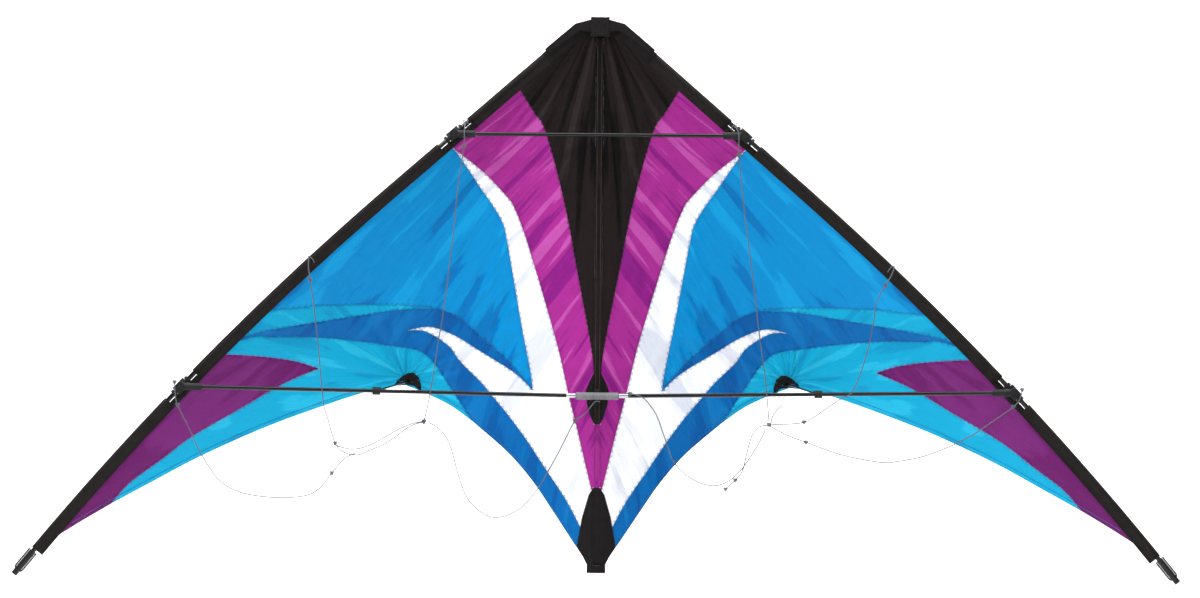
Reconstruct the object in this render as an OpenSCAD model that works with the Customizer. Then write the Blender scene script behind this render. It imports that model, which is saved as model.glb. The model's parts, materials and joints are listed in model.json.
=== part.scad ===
// Dual line delta kite, seen from its bridle side and hung by the nose.
// +Z is up, +X is the right wing tip and -Y is the bridle side.
// The origin is the top of the nose.

/* [Overall] */
// Tip to tip across both wings
wingspan = 1800; // [1500:10:2200]
// From the top of the nose to the end of the tail strap
kite_height = 858; // [715:1:1030]
// How far the wing tips hang below the tail
tip_below_tail = 5; // [0:1:60]
// How far the standoffs push the sail back
sail_depth = 100; // [70:1:125]

/* [Leading edges] */
// Outside diameter of the leading edge rods
edge_rod_d = 7.5; // [6:0.1:9]
// Straight length of a leading edge, from the nose
edge_straight = 375; // [300:5:450]
// Angle through which the rest of a leading edge bows
edge_bow = 9.5; // [4:0.1:14]
// Distance from the centre line to the nose end of a rod
edge_nose_gap = 33; // [28:1:45]
// Depth of the nose end of a rod below the nose
edge_nose_drop = 17; // [14:1:25]
// Width of the sleeve behind the rod
sleeve_w = 15; // [12:0.5:22]
// Wall of the sleeve
sleeve_wall = 1; // [0.6:0.1:1.6]
// Length of the nose webbing along each leading edge
nose_cover_len = 68; // [50:1:90]
// Length of rod bared at each connector
window_len = 60; // [50:1:80]

/* [Spreaders] */
// Outside diameter of the spreader rods
spreader_d = 6; // [5:0.1:7]
// Depth of the upper spreader below the nose
upper_level = 183; // [165:1:215]
// Depth of the lower spreader below the nose, at the centre
lower_level = 585; // [560:1:600]
// Rise of each lower spreader from the centre to its wing
lower_rise = 10; // [0:1:16]
// Diameter of the metal ferrules on the inner ends
ferrule_d = 7; // [7:0.1:7.6]
// Length of the metal ferrules
ferrule_len = 14; // [8:1:24]

/* [Connectors] */
// Outside diameter of a clamp round a leading edge
clamp_d = 16; // [14:0.5:18]
// Length of a clamp along a leading edge
clamp_len = 22; // [16:1:28]
// Outside diameter of a socket
socket_d = 11.4; // [10:0.1:12.4]
// Length of a socket from its pin to its mouth
socket_len = 33; // [26:1:40]
// Diameter of the pin that a socket turns on
pin_d = 5; // [4:0.1:6]
// Thickness of a stop ring
stop_w = 5; // [3:0.5:7]
// Length of the centre tube
centre_len = 65; // [56:1:72]
// Outside diameter of the centre tube
centre_d = 11.4; // [10.4:0.1:12.4]

/* [Standoffs] */
// Distance from the centre line to a standoff clip
standoff_x = 340; // [325:1:360]
// Diameter of a standoff rod
standoff_d = 3; // [2.5:0.1:4]
// Outside diameter of a standoff clip
clip_d = 12; // [10:0.5:14]
// Width of a standoff clip
clip_w = 12; // [8:0.5:16]

/* [Spine] */
// Outside diameter of the spine
spine_d = 7; // [6:0.1:8]
// Distance of the spine behind the sail
spine_back = 6.5; // [6.5:0.1:8]
// Half width of the tape down the centre of the sail
tape_half_w = 5; // [4.5:0.1:5]
// Wall of the pocket that holds the spine
pocket_wall = 1.2; // [0.8:0.1:1.4]
// Width of the strap at the tail
tail_strap_w = 29; // [22:1:36]
// Height of the strap at the tail
tail_strap_h = 12; // [9:1:16]

/* [Bridle] */
// Diameter of the bridle cord
cord_d = 1.6; // [1.2:0.1:2]

/* [Hidden] */

$fn = 48;
round_fn = 32;       // facets of the small round sections
bow_fn = 1440;       // facets of a full turn of the bowed leading edge
running = 0.05;      // radial clearance of a turning fit
gap = 0.3;           // gap between neighbours on different bodies
open_gap = 1;        // gap where a rod comes out of its socket
hinge_x = 6;         // fold line of each wing, beside the centre tape
hinge_gap = 1.2;     // gap between a fold line and the sail beside it
cloth_t = 1;         // thickness of the sail
nock_len = 40;       // length of a nock past its rod
nock_seat = 6;       // how far a nock reaches over its rod

// Leading edge: a straight run of edge_straight, then an arc of edge_bow degrees.
// Points are [x, depth] with the depth measured down from the nose.
half_span = wingspan / 2;
tip_drop = kite_height + tip_below_tail;
half_bow = edge_bow / 2;
run_x = half_span - edge_nose_gap;
run_d = tip_drop - edge_nose_drop;
edge_run = sqrt(run_x * run_x + run_d * run_d) - nock_len;
bow_chord = sqrt(pow(edge_run, 2) - pow(edge_straight * sin(half_bow), 2))
    - edge_straight * cos(half_bow);
bow_r = bow_chord / (2 * sin(half_bow));
edge_angle = atan2(run_d, run_x)
    - atan2(bow_chord * sin(half_bow), edge_straight + bow_chord * cos(half_bow));
edge_len = edge_straight + bow_r * edge_bow * PI / 180;
bow_start = [
    edge_nose_gap + edge_straight * cos(edge_angle),
    edge_nose_drop + edge_straight * sin(edge_angle)
];
bow_centre = [
    bow_start.x - bow_r * sin(edge_angle),
    bow_start.y + bow_r * cos(edge_angle)
];

// Slope of the leading edge at a distance s along it from the nose end.
function edge_slope(s) = edge_angle + max(0, s - edge_straight) / bow_r * 180 / PI;

// Distance from the nose end to the place where the rod reaches depth d.
function edge_at_depth(d) = d < bow_start.y
    ? (d - edge_nose_drop) / sin(edge_angle)
    : edge_straight + (acos((bow_centre.y - d) / bow_r) - edge_angle) * PI / 180 * bow_r;

// Half width of the kite at depth d, measured to a line inside the rod by inset.
function edge_x(d, inset) =
    let (r = bow_r - inset, arc_top = bow_centre.y - r * cos(edge_angle))
    d < arc_top
        ? bow_centre.x + r * sin(edge_angle) - (arc_top - d) / tan(edge_angle)
        : bow_centre.x + sqrt(r * r - pow(bow_centre.y - d, 2));

upper_s = edge_at_depth(upper_level);
lower_s = edge_at_depth(lower_level - lower_rise);
upper_pin_x = edge_x(upper_level, 0);
lower_pin_x = edge_x(lower_level - lower_rise, 0);
lower_angle = atan2(lower_rise, lower_pin_x);
upper_rod_in = 20;   // length of the upper spreader inside its socket
lower_rod_in = 20;   // length of a lower spreader inside its socket
inner_end_x = centre_len / 2 + open_gap;
boss_front = clamp_d / 2 + 0.1;                        // front of a clamp's boss
turn_gap = 0.2;                                        // gap between a boss and its socket
spreader_front = boss_front + turn_gap + socket_d / 2; // spreaders in front of the leading edges

// Sail artwork for one wing, [x, depth] at the base size.
art_w = 900;
art_h = 858;
curve_steps = 4;     // steps between two points of a smooth seam

// Where a point of the artwork lies at the present size.
function place(p) = [p.x * half_span / art_w, p.y * kite_height / art_h];

// A smooth curve through the points, by Catmull and Rom.
function spline_point(p, i, t) =
    let (n = len(p), a = p[max(i - 1, 0)], b = p[i], c = p[i + 1], e = p[min(i + 2, n - 1)])
    0.5 * (2 * b + (c - a) * t + (2 * a - 5 * b + 4 * c - e) * t * t
        + (3 * b - a - 3 * c + e) * t * t * t);
function smooth(p, steps) = [
    for (i = [0:len(p) - 2]) for (k = [0:steps - 1]) spline_point(p, i, k / steps),
    p[len(p) - 1]
];
function seam(p) = [for (q = smooth(p, curve_steps)) place(q)];
function reversed(p) = [for (i = [len(p) - 1:-1:0]) p[i]];

black_seam = seam([[180, 26], [122, 115], [102, 147], [83, 178], [54, 283], [31, 400], [12, 498], [5, 546]]);
magenta_seam = seam([
    [268, 164], [228, 202], [197, 226], [172, 247], [141, 280], [131, 295], [114, 338], [87, 424],
    [61, 513], [46, 577], [30, 640], [12, 714], [5, 742]
]);
blue_seam = seam([
    [268, 164], [228, 202], [204, 234], [182, 267], [164, 292], [149, 318], [143, 340], [126, 434],
    [115, 494], [104, 548], [100, 578]
]);
wedge_seam = seam([[100, 578], [120, 552], [146, 526], [182, 495], [218, 465], [250, 452]]);
shoulder_seam = seam([[250, 452], [300, 447], [345, 447], [401, 448], [447, 451], [537, 462], [600, 472]]);
swath_top = seam([[250, 452], [311, 455], [356, 462], [424, 473], [481, 483], [537, 495], [640, 525]]);
swath_low = seam([
    [640, 535], [537, 500], [503, 498], [447, 498], [379, 503], [322, 511], [282, 517], [259, 532],
    [236, 564], [202, 616], [196, 626]
]);
crescent_top = seam([[100, 578], [129, 551], [183, 518], [223, 494], [261, 481], [296, 487]]);
crescent_low = seam([
    [296, 487], [268, 488], [232, 510], [214, 534], [183, 564], [164, 586], [133, 623], [107, 658],
    [76, 704], [53, 737], [38, 762], [22, 792], [5, 816]
]);
purple_seam = seam([[660, 522], [579, 525], [517, 529], [468, 536], [433, 547]]);
purple_low = seam([[433, 547], [488, 571], [559, 613], [625, 652], [676, 691], [721, 725], [750, 758]]);
tail_edge = seam([
    [5, 846], [30, 819], [46, 796], [69, 762], [99, 719], [137, 676], [185, 635], [196, 626]
]);
standoff_edge = seam([[196, 626], [229, 603], [264, 586], [299, 572]]);
wing_edge = seam([[299, 572], [345, 579], [414, 601], [513, 638], [612, 683], [690, 725], [750, 758]]);
tip_edge = seam([[750, 758], [800, 788], [845, 818], [880, 850]]);
apex = place([299, 572]);

// How far back the sail lies at x and depth d: flat along the spine and the
// leading edge, and deepest at the standoff.
function sail_back(x, d) =
    let (across = (x - hinge_x) / (edge_x(d, sleeve_w) - hinge_x))
    sail_depth * sin(180 * min(max(across, 0), 1)) * pow(d / apex.y, 1.2);

sail_rows = 24;
sail_cols = 14;
sail_top = edge_nose_drop + sleeve_w * cos(edge_angle)
    - (edge_nose_gap - sleeve_w * sin(edge_angle) - hinge_x - hinge_gap - 4) * tan(edge_angle);
sail_end = place([866, 840]).y;
edge_rod_wall = 1.2; // wall of the leading edge tube

function sail_grid(lift, t) = [
    for (back = [0, 1]) for (i = [0:sail_rows]) for (j = [0:sail_cols])
        let (
            d = sail_top + (sail_end - sail_top) * i / sail_rows,
            x0 = hinge_x + hinge_gap,
            x = x0 + (edge_x(d, sleeve_w) - x0) * j / sail_cols
        )
        [x, sail_back(x, d) - lift + (back - 0.5) * t, -d]
];

// The whole wing's cloth, moved forward by lift, with the walls that a panel is cut from.
module sail_cloth(lift = 0, t = cloth_t) {
    n = sail_cols + 1;
    layer = (sail_rows + 1) * n;
    quads = [for (i = [0:sail_rows - 1]) for (j = [0:sail_cols - 1]) i * n + j];
    polyhedron(
        points = sail_grid(lift, t),
        faces = [
            for (q = quads) each [[q, q + 1, q + n], [q + 1, q + n + 1, q + n]],
            for (q = quads) each [
                [layer + q, layer + q + n, layer + q + 1],
                [layer + q + 1, layer + q + n, layer + q + n + 1]
            ],
            for (i = [0:sail_rows - 1]) let (a = i * n, b = a + sail_cols) each [
                [a, a + n, layer + a], [a + n, layer + a + n, layer + a],
                [b, layer + b, b + n], [b + n, layer + b, layer + b + n]
            ],
            for (j = [0:sail_cols - 1]) let (a = j, b = sail_rows * n + j) each [
                [a, layer + a, a + 1], [a + 1, layer + a, layer + a + 1],
                [b, b + 1, layer + b], [b + 1, layer + b + 1, layer + b]
            ]
        ]
    );
}

// One panel: the cloth inside an outline of [x, depth] points.
module panel(outline, lift = 0, t = cloth_t) {
    intersection() {
        sail_cloth(lift, t);
        rotate([90, 0, 0])
            linear_extrude(2 * sail_depth + 200, center = true)
                polygon([for (p = outline) [p.x, -p.y]]);
    }
}

// Places its children on a leading edge rod: +X outwards, +Y to the nose, +Z forward.
module at_edge(s) {
    translate([bow_centre.x, 0, -bow_centre.y])
        rotate([90, 0, 0])
            rotate([0, 0, 90 - edge_slope(s)])
                translate([bow_r, max(0, edge_straight - s), 0])
                    children();
}

// Sweeps a section along the leading edge from s0 to s1.
module along_edge(s0, s1) {
    straight_end = min(s1, edge_straight);
    arc_start = max(s0, edge_straight);
    if (s0 < edge_straight)
        at_edge(straight_end)
            translate([0, straight_end - s0, 0])
                rotate([90, 0, 0])
                    linear_extrude(straight_end - s0)
                        children();
    if (s1 > edge_straight)
        translate([bow_centre.x, 0, -bow_centre.y])
            rotate([90, 0, 0])
                rotate([0, 0, 90 - edge_slope(s1)])
                    rotate_extrude(angle = edge_slope(s1) - edge_slope(arc_start), $fn = bow_fn)
                        translate([bow_r, 0])
                            children();
}

module disc(d) {
    circle(d = d, $fn = round_fn);
}

module mirrored() {
    mirror([1, 0, 0])
        children();
}

// ---- Spine and centre ----

module spine_tube_section(d0, d1, outer, inner) {
    translate([0, spine_back, -d1])
        difference() {
            cylinder(d = outer, h = d1 - d0);
            translate([0, 0, -1])
                cylinder(d = inner, h = d1 - d0 + 2);
        }
}

spine_top = 14;
spine_wall = 1.2;
cap_len = 16;
spine_end = kite_height - tail_strap_h - 1;

module spine_rod() {
    color("#1d1d20")
        spine_tube_section(spine_top, spine_end - 2, spine_d, spine_d - 2 * spine_wall);
}

module spine_end_cap() {
    color("#26262a")
        translate([0, spine_back, -spine_end])
            difference() {
                cylinder(d = spine_d + 2, h = cap_len);
                translate([0, 0, 2])
                    cylinder(d = spine_d + 2 * running, h = cap_len);
            }
}

saddle_h = 22;
pocket_top = 36;
pocket_end = spine_end - cap_len - 1;

// The tape and pocket between two depths.
module pocket_run(d0, d1) {
    translate([0, 0, -d1])
        linear_extrude(d1 - d0)
            difference() {
                union() {
                    translate([-tape_half_w, -cloth_t])
                        square([2 * tape_half_w, cloth_t]);
                    translate([-pocket_wall, -cloth_t / 2])
                        square([2 * pocket_wall, spine_back]);
                    translate([0, spine_back])
                        disc(spine_d + 2 * pocket_wall);
                }
                translate([0, spine_back])
                    disc(spine_d + 2 * running);
            }
}

module spine_pocket() {
    color("#1b1616") {
        pocket_run(pocket_top, lower_level - saddle_h / 2 - gap);
        pocket_run(lower_level + saddle_h / 2 + gap, pocket_end);
    }
}

nose_half_w = 14;
nose_cap_h = 31;
nose_front = 7;

module nose_cap() {
    cap_t = 3;
    back = spine_back + spine_d / 2;
    color("#1b1616")
        difference() {
            union() {
                translate([-nose_half_w, -nose_front, -nose_cap_h])
                    cube([2 * nose_half_w, cap_t, nose_cap_h]);
                translate([-tape_half_w, -nose_front + cap_t - 1, -nose_cap_h])
                    cube([2 * tape_half_w, nose_front - cap_t + back + 2, nose_cap_h]);
            }
            translate([0, spine_back, -nose_cap_h - 1])
                cylinder(d = spine_d + 2 * running, h = nose_cap_h - spine_top + 1.5);
        }
}

module centre_tube() {
    bore_depth = 26;
    color("#8a8a8c")
        translate([0, -spreader_front, -lower_level])
            rotate([0, 90, 0])
                difference() {
                    cylinder(d = centre_d, h = centre_len, center = true);
                    for (side = [-1, 1])
                        translate([0, 0, side * centre_len / 2])
                            cylinder(d = ferrule_d + 0.2, h = 2 * bore_depth, center = true);
                }
}

module spine_saddle() {
    saddle_w = 2 * tape_half_w - 1;
    reach = spreader_front + spine_back;
    color("#222226")
        difference() {
            union() {
                translate([-saddle_w / 2, -spreader_front, -lower_level - saddle_h / 2])
                    cube([saddle_w, reach, saddle_h]);
                translate([0, spine_back, -lower_level - saddle_h / 2])
                    cylinder(d = spine_d + 2.4, h = saddle_h);
            }
            translate([0, spine_back, -lower_level - saddle_h / 2 - 1])
                cylinder(d = spine_d + 2 * running, h = saddle_h + 2);
            translate([0, -spreader_front, -lower_level])
                rotate([0, 90, 0])
                    cylinder(d = centre_d + 0.02, h = 2 * saddle_w, center = true);
        }
}

module tail_strap() {
    strap_back = spine_back + spine_d / 2 + 2;
    color("#18181a")
        translate([-tail_strap_w / 2, -3, -kite_height])
            cube([tail_strap_w, strap_back + 3, tail_strap_h]);
}

// ---- One wing's frame ----

// The bore of the leading edge tubes, at the nose and where the two tubes meet.
edge_bore = edge_rod_d - 2 * edge_rod_wall;
edge_join = 0.2;     // gap between the two tubes and between their sleeves
join_len = 60;       // length of the ferrule inside them

module edge_rod() {
    bore_len = 40;
    color("#121214")
        difference() {
            union() {
                along_edge(0, edge_straight - edge_join / 2)
                    disc(edge_rod_d);
                along_edge(edge_straight + edge_join / 2, edge_len - nock_seat / 2)
                    disc(edge_rod_d);
            }
            at_edge(0)
                rotate([90, 0, 0])
                    cylinder(d = edge_bore, h = 2 * bore_len, center = true);
            at_edge(edge_straight)
                rotate([90, 0, 0])
                    cylinder(d = edge_bore, h = join_len + 2, center = true);
        }
}

// Ferrule inside both tubes of a leading edge.
module edge_ferrule() {
    color("#c4c6c9")
        at_edge(edge_straight)
            rotate([90, 0, 0])
                cylinder(d = edge_bore - 2 * running, h = join_len, center = true);
}

// Section of the sleeve: a ring round the rod and a flat hem on its inner side.
module sleeve_section(wall) {
    difference() {
        union() {
            disc(edge_rod_d + 2 * wall + 0.4);
            translate([-sleeve_w, -wall])
                square([sleeve_w, 2 * wall]);
        }
        disc(edge_rod_d + 0.2);
    }
}

sleeve_end = edge_len - nock_seat - 4;
window_half = window_len / 2;
hem_w = 8;           // width of cloth left beside the sail at a window
hem_in = 2;          // how far that cloth reaches into the sleeve on both sides

module edge_sleeve() {
    starts = [
        nose_cover_len + gap, upper_s + window_half, edge_straight + edge_join / 2,
        lower_s + window_half
    ];
    ends = [
        upper_s - window_half, edge_straight - edge_join / 2, lower_s - window_half, sleeve_end
    ];
    color("#241d1d") {
        for (i = [0:3])
            along_edge(starts[i], ends[i])
                sleeve_section(sleeve_wall);
        for (s = [upper_s, lower_s])
            along_edge(s - window_half - hem_in, s + window_half + hem_in)
                translate([hem_in / 2 - sleeve_w, -0.7 * sleeve_wall])
                    square([hem_w - hem_in, 1.4 * sleeve_wall]);
    }
}

module nose_cover() {
    cover_past = 4;
    color("#161314")
        along_edge(-cover_past, nose_cover_len)
            sleeve_section(sleeve_wall + 1.2);
}

module edge_stops() {
    ring_gap = 1;
    color("#1f1f22")
        for (s = [upper_s, lower_s], side = [-1, 1])
            at_edge(s + side * (clamp_len / 2 + ring_gap + stop_w / 2))
                rotate([90, 0, 0])
                    difference() {
                        cylinder(d = edge_rod_d + 5, h = stop_w, center = true);
                        cylinder(d = edge_rod_d + 2 * running, h = stop_w + 2, center = true);
                    }
}

// Clamp round the leading edge with the pin that its socket turns on.
module connector(s) {
    head_d = pin_d + 3.5;
    head_t = 1.6;
    pin_front = spreader_front + socket_d / 2 + 0.4;
    color("#232327")
        at_edge(s)
            difference() {
                union() {
                    rotate([90, 0, 0])
                        cylinder(d = clamp_d, h = clamp_len, center = true);
                    cylinder(d = clamp_d - 2, h = boss_front);
                    cylinder(d = pin_d, h = pin_front + head_t / 2);
                    translate([0, 0, pin_front])
                        cylinder(d = head_d, h = head_t);
                }
                rotate([90, 0, 0])
                    cylinder(d = edge_rod_d + 2 * running, h = clamp_len + 2, center = true);
            }
}

// A socket pointing to the centre line, with the eye that turns on the pin at its origin.
module socket() {
    eye_d = 14;
    eye_t = spreader_front + socket_d / 2 - boss_front;
    floor_x = 9;
    color("#232327")
        difference() {
            union() {
                translate([0, -boss_front - 0.75 * turn_gap, 0])
                    rotate([90, 0, 0])
                        cylinder(d = eye_d, h = eye_t);
                translate([0, -spreader_front, 0])
                    rotate([0, -90, 0])
                        cylinder(d = socket_d, h = socket_len);
            }
            rotate([90, 0, 0])
                cylinder(d = pin_d + 2 * running, h = 3 * spreader_front);
            translate([-floor_x, -spreader_front, 0])
                rotate([0, -90, 0])
                    cylinder(d = spreader_d + 2 * running, h = socket_len);
        }
}

module upper_socket() {
    translate([upper_pin_x, 0, -upper_level])
        socket();
}

// Places its children at the lower pin with -X along the lower spreader.
module at_lower_pin() {
    translate([lower_pin_x, 0, lower_rise - lower_level])
        rotate([0, -lower_angle, 0])
            children();
}

module lower_socket() {
    at_lower_pin()
        socket();
}

lower_run = norm([lower_pin_x - inner_end_x, lower_rise * (1 - inner_end_x / lower_pin_x)]);

module lower_spreader() {
    color("#131316")
        at_lower_pin()
            translate([lower_rod_in - socket_len, -spreader_front, 0])
                rotate([0, -90, 0])
                    cylinder(d = spreader_d, h = lower_run - socket_len + lower_rod_in);
}

module ferrule() {
    color("#c4c6c9")
        at_lower_pin()
            translate([ferrule_len - lower_run, -spreader_front, 0])
                rotate([0, -90, 0])
                    difference() {
                        cylinder(d = ferrule_d, h = ferrule_len);
                        translate([0, 0, -1])
                            cylinder(d = spreader_d + 0.02, h = ferrule_len + 2);
                    }
}

nock_d = 10;
nock_slot = 3.4;

module tip_nock() {
    slot_depth = 14;
    color("#1a1a1c")
        at_edge(edge_len)
            rotate([90, 0, 0])
                difference() {
                    translate([0, 0, -nock_seat])
                        cylinder(d = nock_d, h = nock_len + nock_seat);
                    translate([0, 0, -nock_seat - 1])
                        cylinder(d = edge_rod_d + 2 * running, h = nock_seat * 1.5 + 1);
                    translate([-nock_d, -nock_slot / 2, nock_len - slot_depth])
                        cube([2 * nock_d, nock_slot, slot_depth + 1]);
                }
}

module tip_bungee() {
    bungee_d = 2.6;
    loop_w = nock_d + bungee_d + 0.6;
    loop_len = nock_len - 14 + nock_seat;
    color("#2b2b2e")
        at_edge(edge_len)
            rotate([90, 0, 0])
                translate([0, 0, -nock_seat]) {
                    for (side = [-1, 1])
                        translate([side * loop_w / 2, 0, 0])
                            cylinder(d = bungee_d, h = loop_len);
                    translate([0, 0, loop_len])
                        rotate([90, 0, 0])
                            rotate_extrude(angle = 180)
                                translate([loop_w / 2, 0])
                                    disc(bungee_d);
                }
}

// ---- One wing's sail ----

module black_panel() {
    color("#211b1b")
        panel(concat([place([0, 0]), place([180, 0])], black_seam));
}

module magenta_panel() {
    color("#b93a9b")
        panel(concat(black_seam, reversed(magenta_seam)));
}

module white_panel() {
    color("#f0f0f5")
        panel(concat(magenta_seam, reversed(crescent_low), reversed(crescent_top),
            reversed(blue_seam)));
}

module blue_panel() {
    color("#0096d7")
        panel(concat(blue_seam, wedge_seam, shoulder_seam, [place([640, 472]), place([640, 164])]));
}

module dark_blue_panel() {
    color("#006ebe")
        panel(concat(wedge_seam, swath_top, swath_low, reversed(tail_edge),
            reversed(crescent_low), reversed(crescent_top)));
}

module cyan_panels() {
    color("#05b5de") {
        panel(concat(shoulder_seam, [place([640, 500])], reversed(swath_top)));
        panel(concat(swath_low, standoff_edge, wing_edge, reversed(purple_low),
            reversed(purple_seam)));
    }
}

module purple_panel() {
    color("#7a2070")
        panel(concat(purple_seam, purple_low, tip_edge, [place([960, 850]), place([960, 522])]));
}

patch_lift = cloth_t + 0.1;
cross_patch = [[5, 165], [13, 182], [5, 210]];
keel_patch = [[5, 546], [12, 562], [18, 577], [16, 597], [10, 618], [5, 629]];
tail_patch = [[5, 725], [12, 737], [22, 772], [28, 805], [30, 819], [5, 845]];
standoff_patch = [[274, 581], [278, 560], [286, 553], [294, 553], [302, 557], [312, 565], [317, 574]];

module wing_patches() {
    color("#151214")
        for (outline = [cross_patch, keel_patch, tail_patch, standoff_patch])
            panel([for (p = outline) place(p)], patch_lift);
}

// ---- Standoffs ----

standoff_t = (lower_pin_x - standoff_x) / cos(lower_angle);
standoff_z = -lower_level + lower_rise * standoff_x / lower_pin_x;
standoff_foot = [standoff_x, -spreader_front, standoff_z];
standoff_tip = [apex.x - 4, sail_back(apex.x, apex.y) - 5, -apex.y + 6];
standoff_dir = standoff_tip - standoff_foot;
standoff_len = norm(standoff_dir);
clip_socket_len = 16;

// Places its children on a standoff: +Z from the spreader to the sail.
module along_standoff() {
    translate(standoff_foot)
        rotate([0, acos(standoff_dir.z / standoff_len), atan2(standoff_dir.y, standoff_dir.x)])
            children();
}

module standoff_clip() {
    color("#1c1c20")
        difference() {
            union() {
                at_lower_pin()
                    translate([-standoff_t, -spreader_front, 0])
                        rotate([0, 90, 0])
                            cylinder(d = clip_d, h = clip_w, center = true);
                along_standoff()
                    cylinder(d = standoff_d + 4, h = clip_socket_len);
            }
            at_lower_pin()
                translate([-standoff_t, -spreader_front, 0])
                    rotate([0, 90, 0])
                        cylinder(d = spreader_d + 2 * running, h = 3 * clip_w, center = true);
            along_standoff()
                translate([0, 0, clip_d / 2])
                    cylinder(d = standoff_d + 0.02, h = clip_socket_len);
        }
}

module standoff_rod() {
    tip_d = standoff_d + 2.6;
    tip_len = 9;
    color("#16161a")
        along_standoff() {
            translate([0, 0, clip_d / 2])
                cylinder(d = standoff_d, h = standoff_len - clip_d / 2);
            translate([0, 0, standoff_len - tip_len])
                cylinder(d = tip_d, h = tip_len);
        }
}

// ---- Upper spreader ----

module upper_spreader() {
    left_end = upper_pin_x - socket_len - open_gap;
    right_end = upper_pin_x - socket_len + upper_rod_in;
    color("#131316")
        translate([-left_end, -spreader_front, -upper_level])
            rotate([0, 90, 0])
                cylinder(d = spreader_d, h = left_end + right_end);
}

// ---- Bridle ----

cord_sides = 8;
cord_rings = 48;

// Point at a share u of a cord's route.
function route_point(p, u) =
    let (v = u * (len(p) - 1), i = min(floor(v), len(p) - 2))
    spline_point(p, i, v - i);

// A tube along a route that never runs straight forward or back.
module cord(route) {
    n = cord_sides;
    last = cord_rings - 1;
    points = [
        for (k = [0:last])
            let (
                u = k / last,
                c = route_point(route, u),
                along = route_point(route, min(u + 0.002, 1)) - route_point(route, max(u - 0.002, 0)),
                side = cross(along, [0, 1, 0]) / norm(cross(along, [0, 1, 0])),
                front = cross(side, along) / norm(cross(side, along))
            )
            for (a = [0:n - 1])
                c + cord_d / 2 * (cos(a * 360 / n) * side + sin(a * 360 / n) * front)
    ];
    color("#7d8288")
        polyhedron(
            points = points,
            faces = [
                [for (a = [0:n - 1]) a],
                [for (a = [n - 1:-1:0]) last * n + a],
                for (k = [0:last - 1]) for (a = [0:n - 1])
                    let (b = (a + 1) % n)
                    each [
                        [k * n + a, (k + 1) * n + a, k * n + b],
                        [k * n + b, (k + 1) * n + a, (k + 1) * n + b]
                    ]
            ]
        );
}

left_upper_route = [
    [-206, -9, -167], [-206.5, -15, -168.5], [-207, -20.5, -172], [-207.5, -23, -180],
    [-208, -23, -203], [-215, -23, -252],
    [-220, -24, -300], [-224, -24, -344], [-236, -24, -446], [-245, -25, -503], [-251, -26, -545],
    [-258, -27, -589], [-265, -28, -622]
];
left_middle_route = [
    [-446, -7, -374], [-446, -12, -390], [-443, -16, -409], [-439, -18, -435], [-433, -20, -480],
    [-426, -23, -548], [-420, -25, -602], [-414, -26, -622], [-402, -27, -660], [-388, -28, -674],
    [-368, -28, -678], [-350, -28, -671], [-327, -28, -661], [-306, -28, -647], [-287, -28, -633],
    [-268, -28, -627]
];
left_lower_route = [
    [-650, -22, -567], [-649, -22.5, -584], [-645, -23, -603], [-624, -24, -645], [-609, -25, -676],
    [-582, -26, -716], [-549, -27, -736], [-500, -27, -744], [-452, -28, -742], [-426, -28, -730],
    [-407, -28, -706], [-388, -29, -684], [-370, -29.5, -675]
];
left_centre_route = [
    [4, -16, -593], [-4, -17, -594], [-12, -19, -604], [-22, -21, -615], [-34, -22, -623],
    [-48, -24, -650], [-61, -25, -676], [-75, -26, -701], [-92, -27, -730], [-117, -28, -758],
    [-150, -29, -772], [-174, -29, -766],
    [-197, -29, -745], [-211, -29, -712], [-225, -29, -664], [-239, -29, -640], [-258, -29, -627]
];
right_upper_route = [
    [208, -9, -169], [209.5, -15, -170], [212, -20.5, -173], [214.5, -23, -184], [215, -23, -213],
    [222, -23, -283],
    [230, -24, -344], [241, -24, -427], [248, -25, -486], [258, -26, -557], [264, -28, -622]
];
right_middle_route = [
    [456, -7, -382], [451, -11, -396], [442, -15, -411], [428, -18, -439], [423, -20, -474],
    [411, -23, -526], [393, -26, -573], [376, -27, -585], [352, -28, -601], [324, -28, -620],
    [300, -28, -625], [268, -28, -626]
];
right_lower_route = [
    [653, -22, -569], [650, -22.5, -583], [640, -23, -596], [612, -24, -616], [577, -25, -640],
    [544, -26, -657], [503, -27, -673], [465, -27, -681], [436, -28, -683], [376, -28, -672],
    [321, -28, -653], [291, -28, -642], [268, -28, -630]
];
right_centre_route = [
    [37, -20.5, -581], [50, -21, -581], [62, -22, -583], [74, -23, -590], [91, -25, -613],
    [104, -26, -648], [119, -27, -686], [147, -28, -711], [179, -29, -721], [205, -29, -712],
    [225, -29, -692], [246, -29, -660], [259, -29, -634]
];

// ---- Nodes ----

spine_rod();
spine_pocket();
spine_end_cap();
nose_cap();
centre_tube();
spine_saddle();
tail_strap();
mirrored() edge_rod();  // left_edge_rod
mirrored() edge_ferrule();  // left_edge_ferrule
mirrored() edge_sleeve();  // left_edge_sleeve
mirrored() nose_cover();  // left_nose_cover
mirrored() edge_stops();  // left_edge_stops
mirrored() connector(upper_s);  // left_upper_connector
mirrored() upper_socket();  // left_upper_socket
mirrored() connector(lower_s);  // left_lower_connector
mirrored() lower_socket();  // left_lower_socket
mirrored() lower_spreader();  // left_lower_spreader
mirrored() ferrule();  // left_ferrule
mirrored() tip_nock();  // left_tip_nock
mirrored() tip_bungee();  // left_tip_bungee
mirrored() black_panel();  // left_black_panel
mirrored() magenta_panel();  // left_magenta_panel
mirrored() white_panel();  // left_white_panel
mirrored() blue_panel();  // left_blue_panel
mirrored() dark_blue_panel();  // left_dark_blue_panel
mirrored() cyan_panels();  // left_cyan_panels
mirrored() purple_panel();  // left_purple_panel
mirrored() wing_patches();  // left_patches
mirrored() standoff_clip();  // left_standoff_clip
mirrored() standoff_rod();  // left_standoff_rod
edge_rod();  // right_edge_rod
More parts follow.
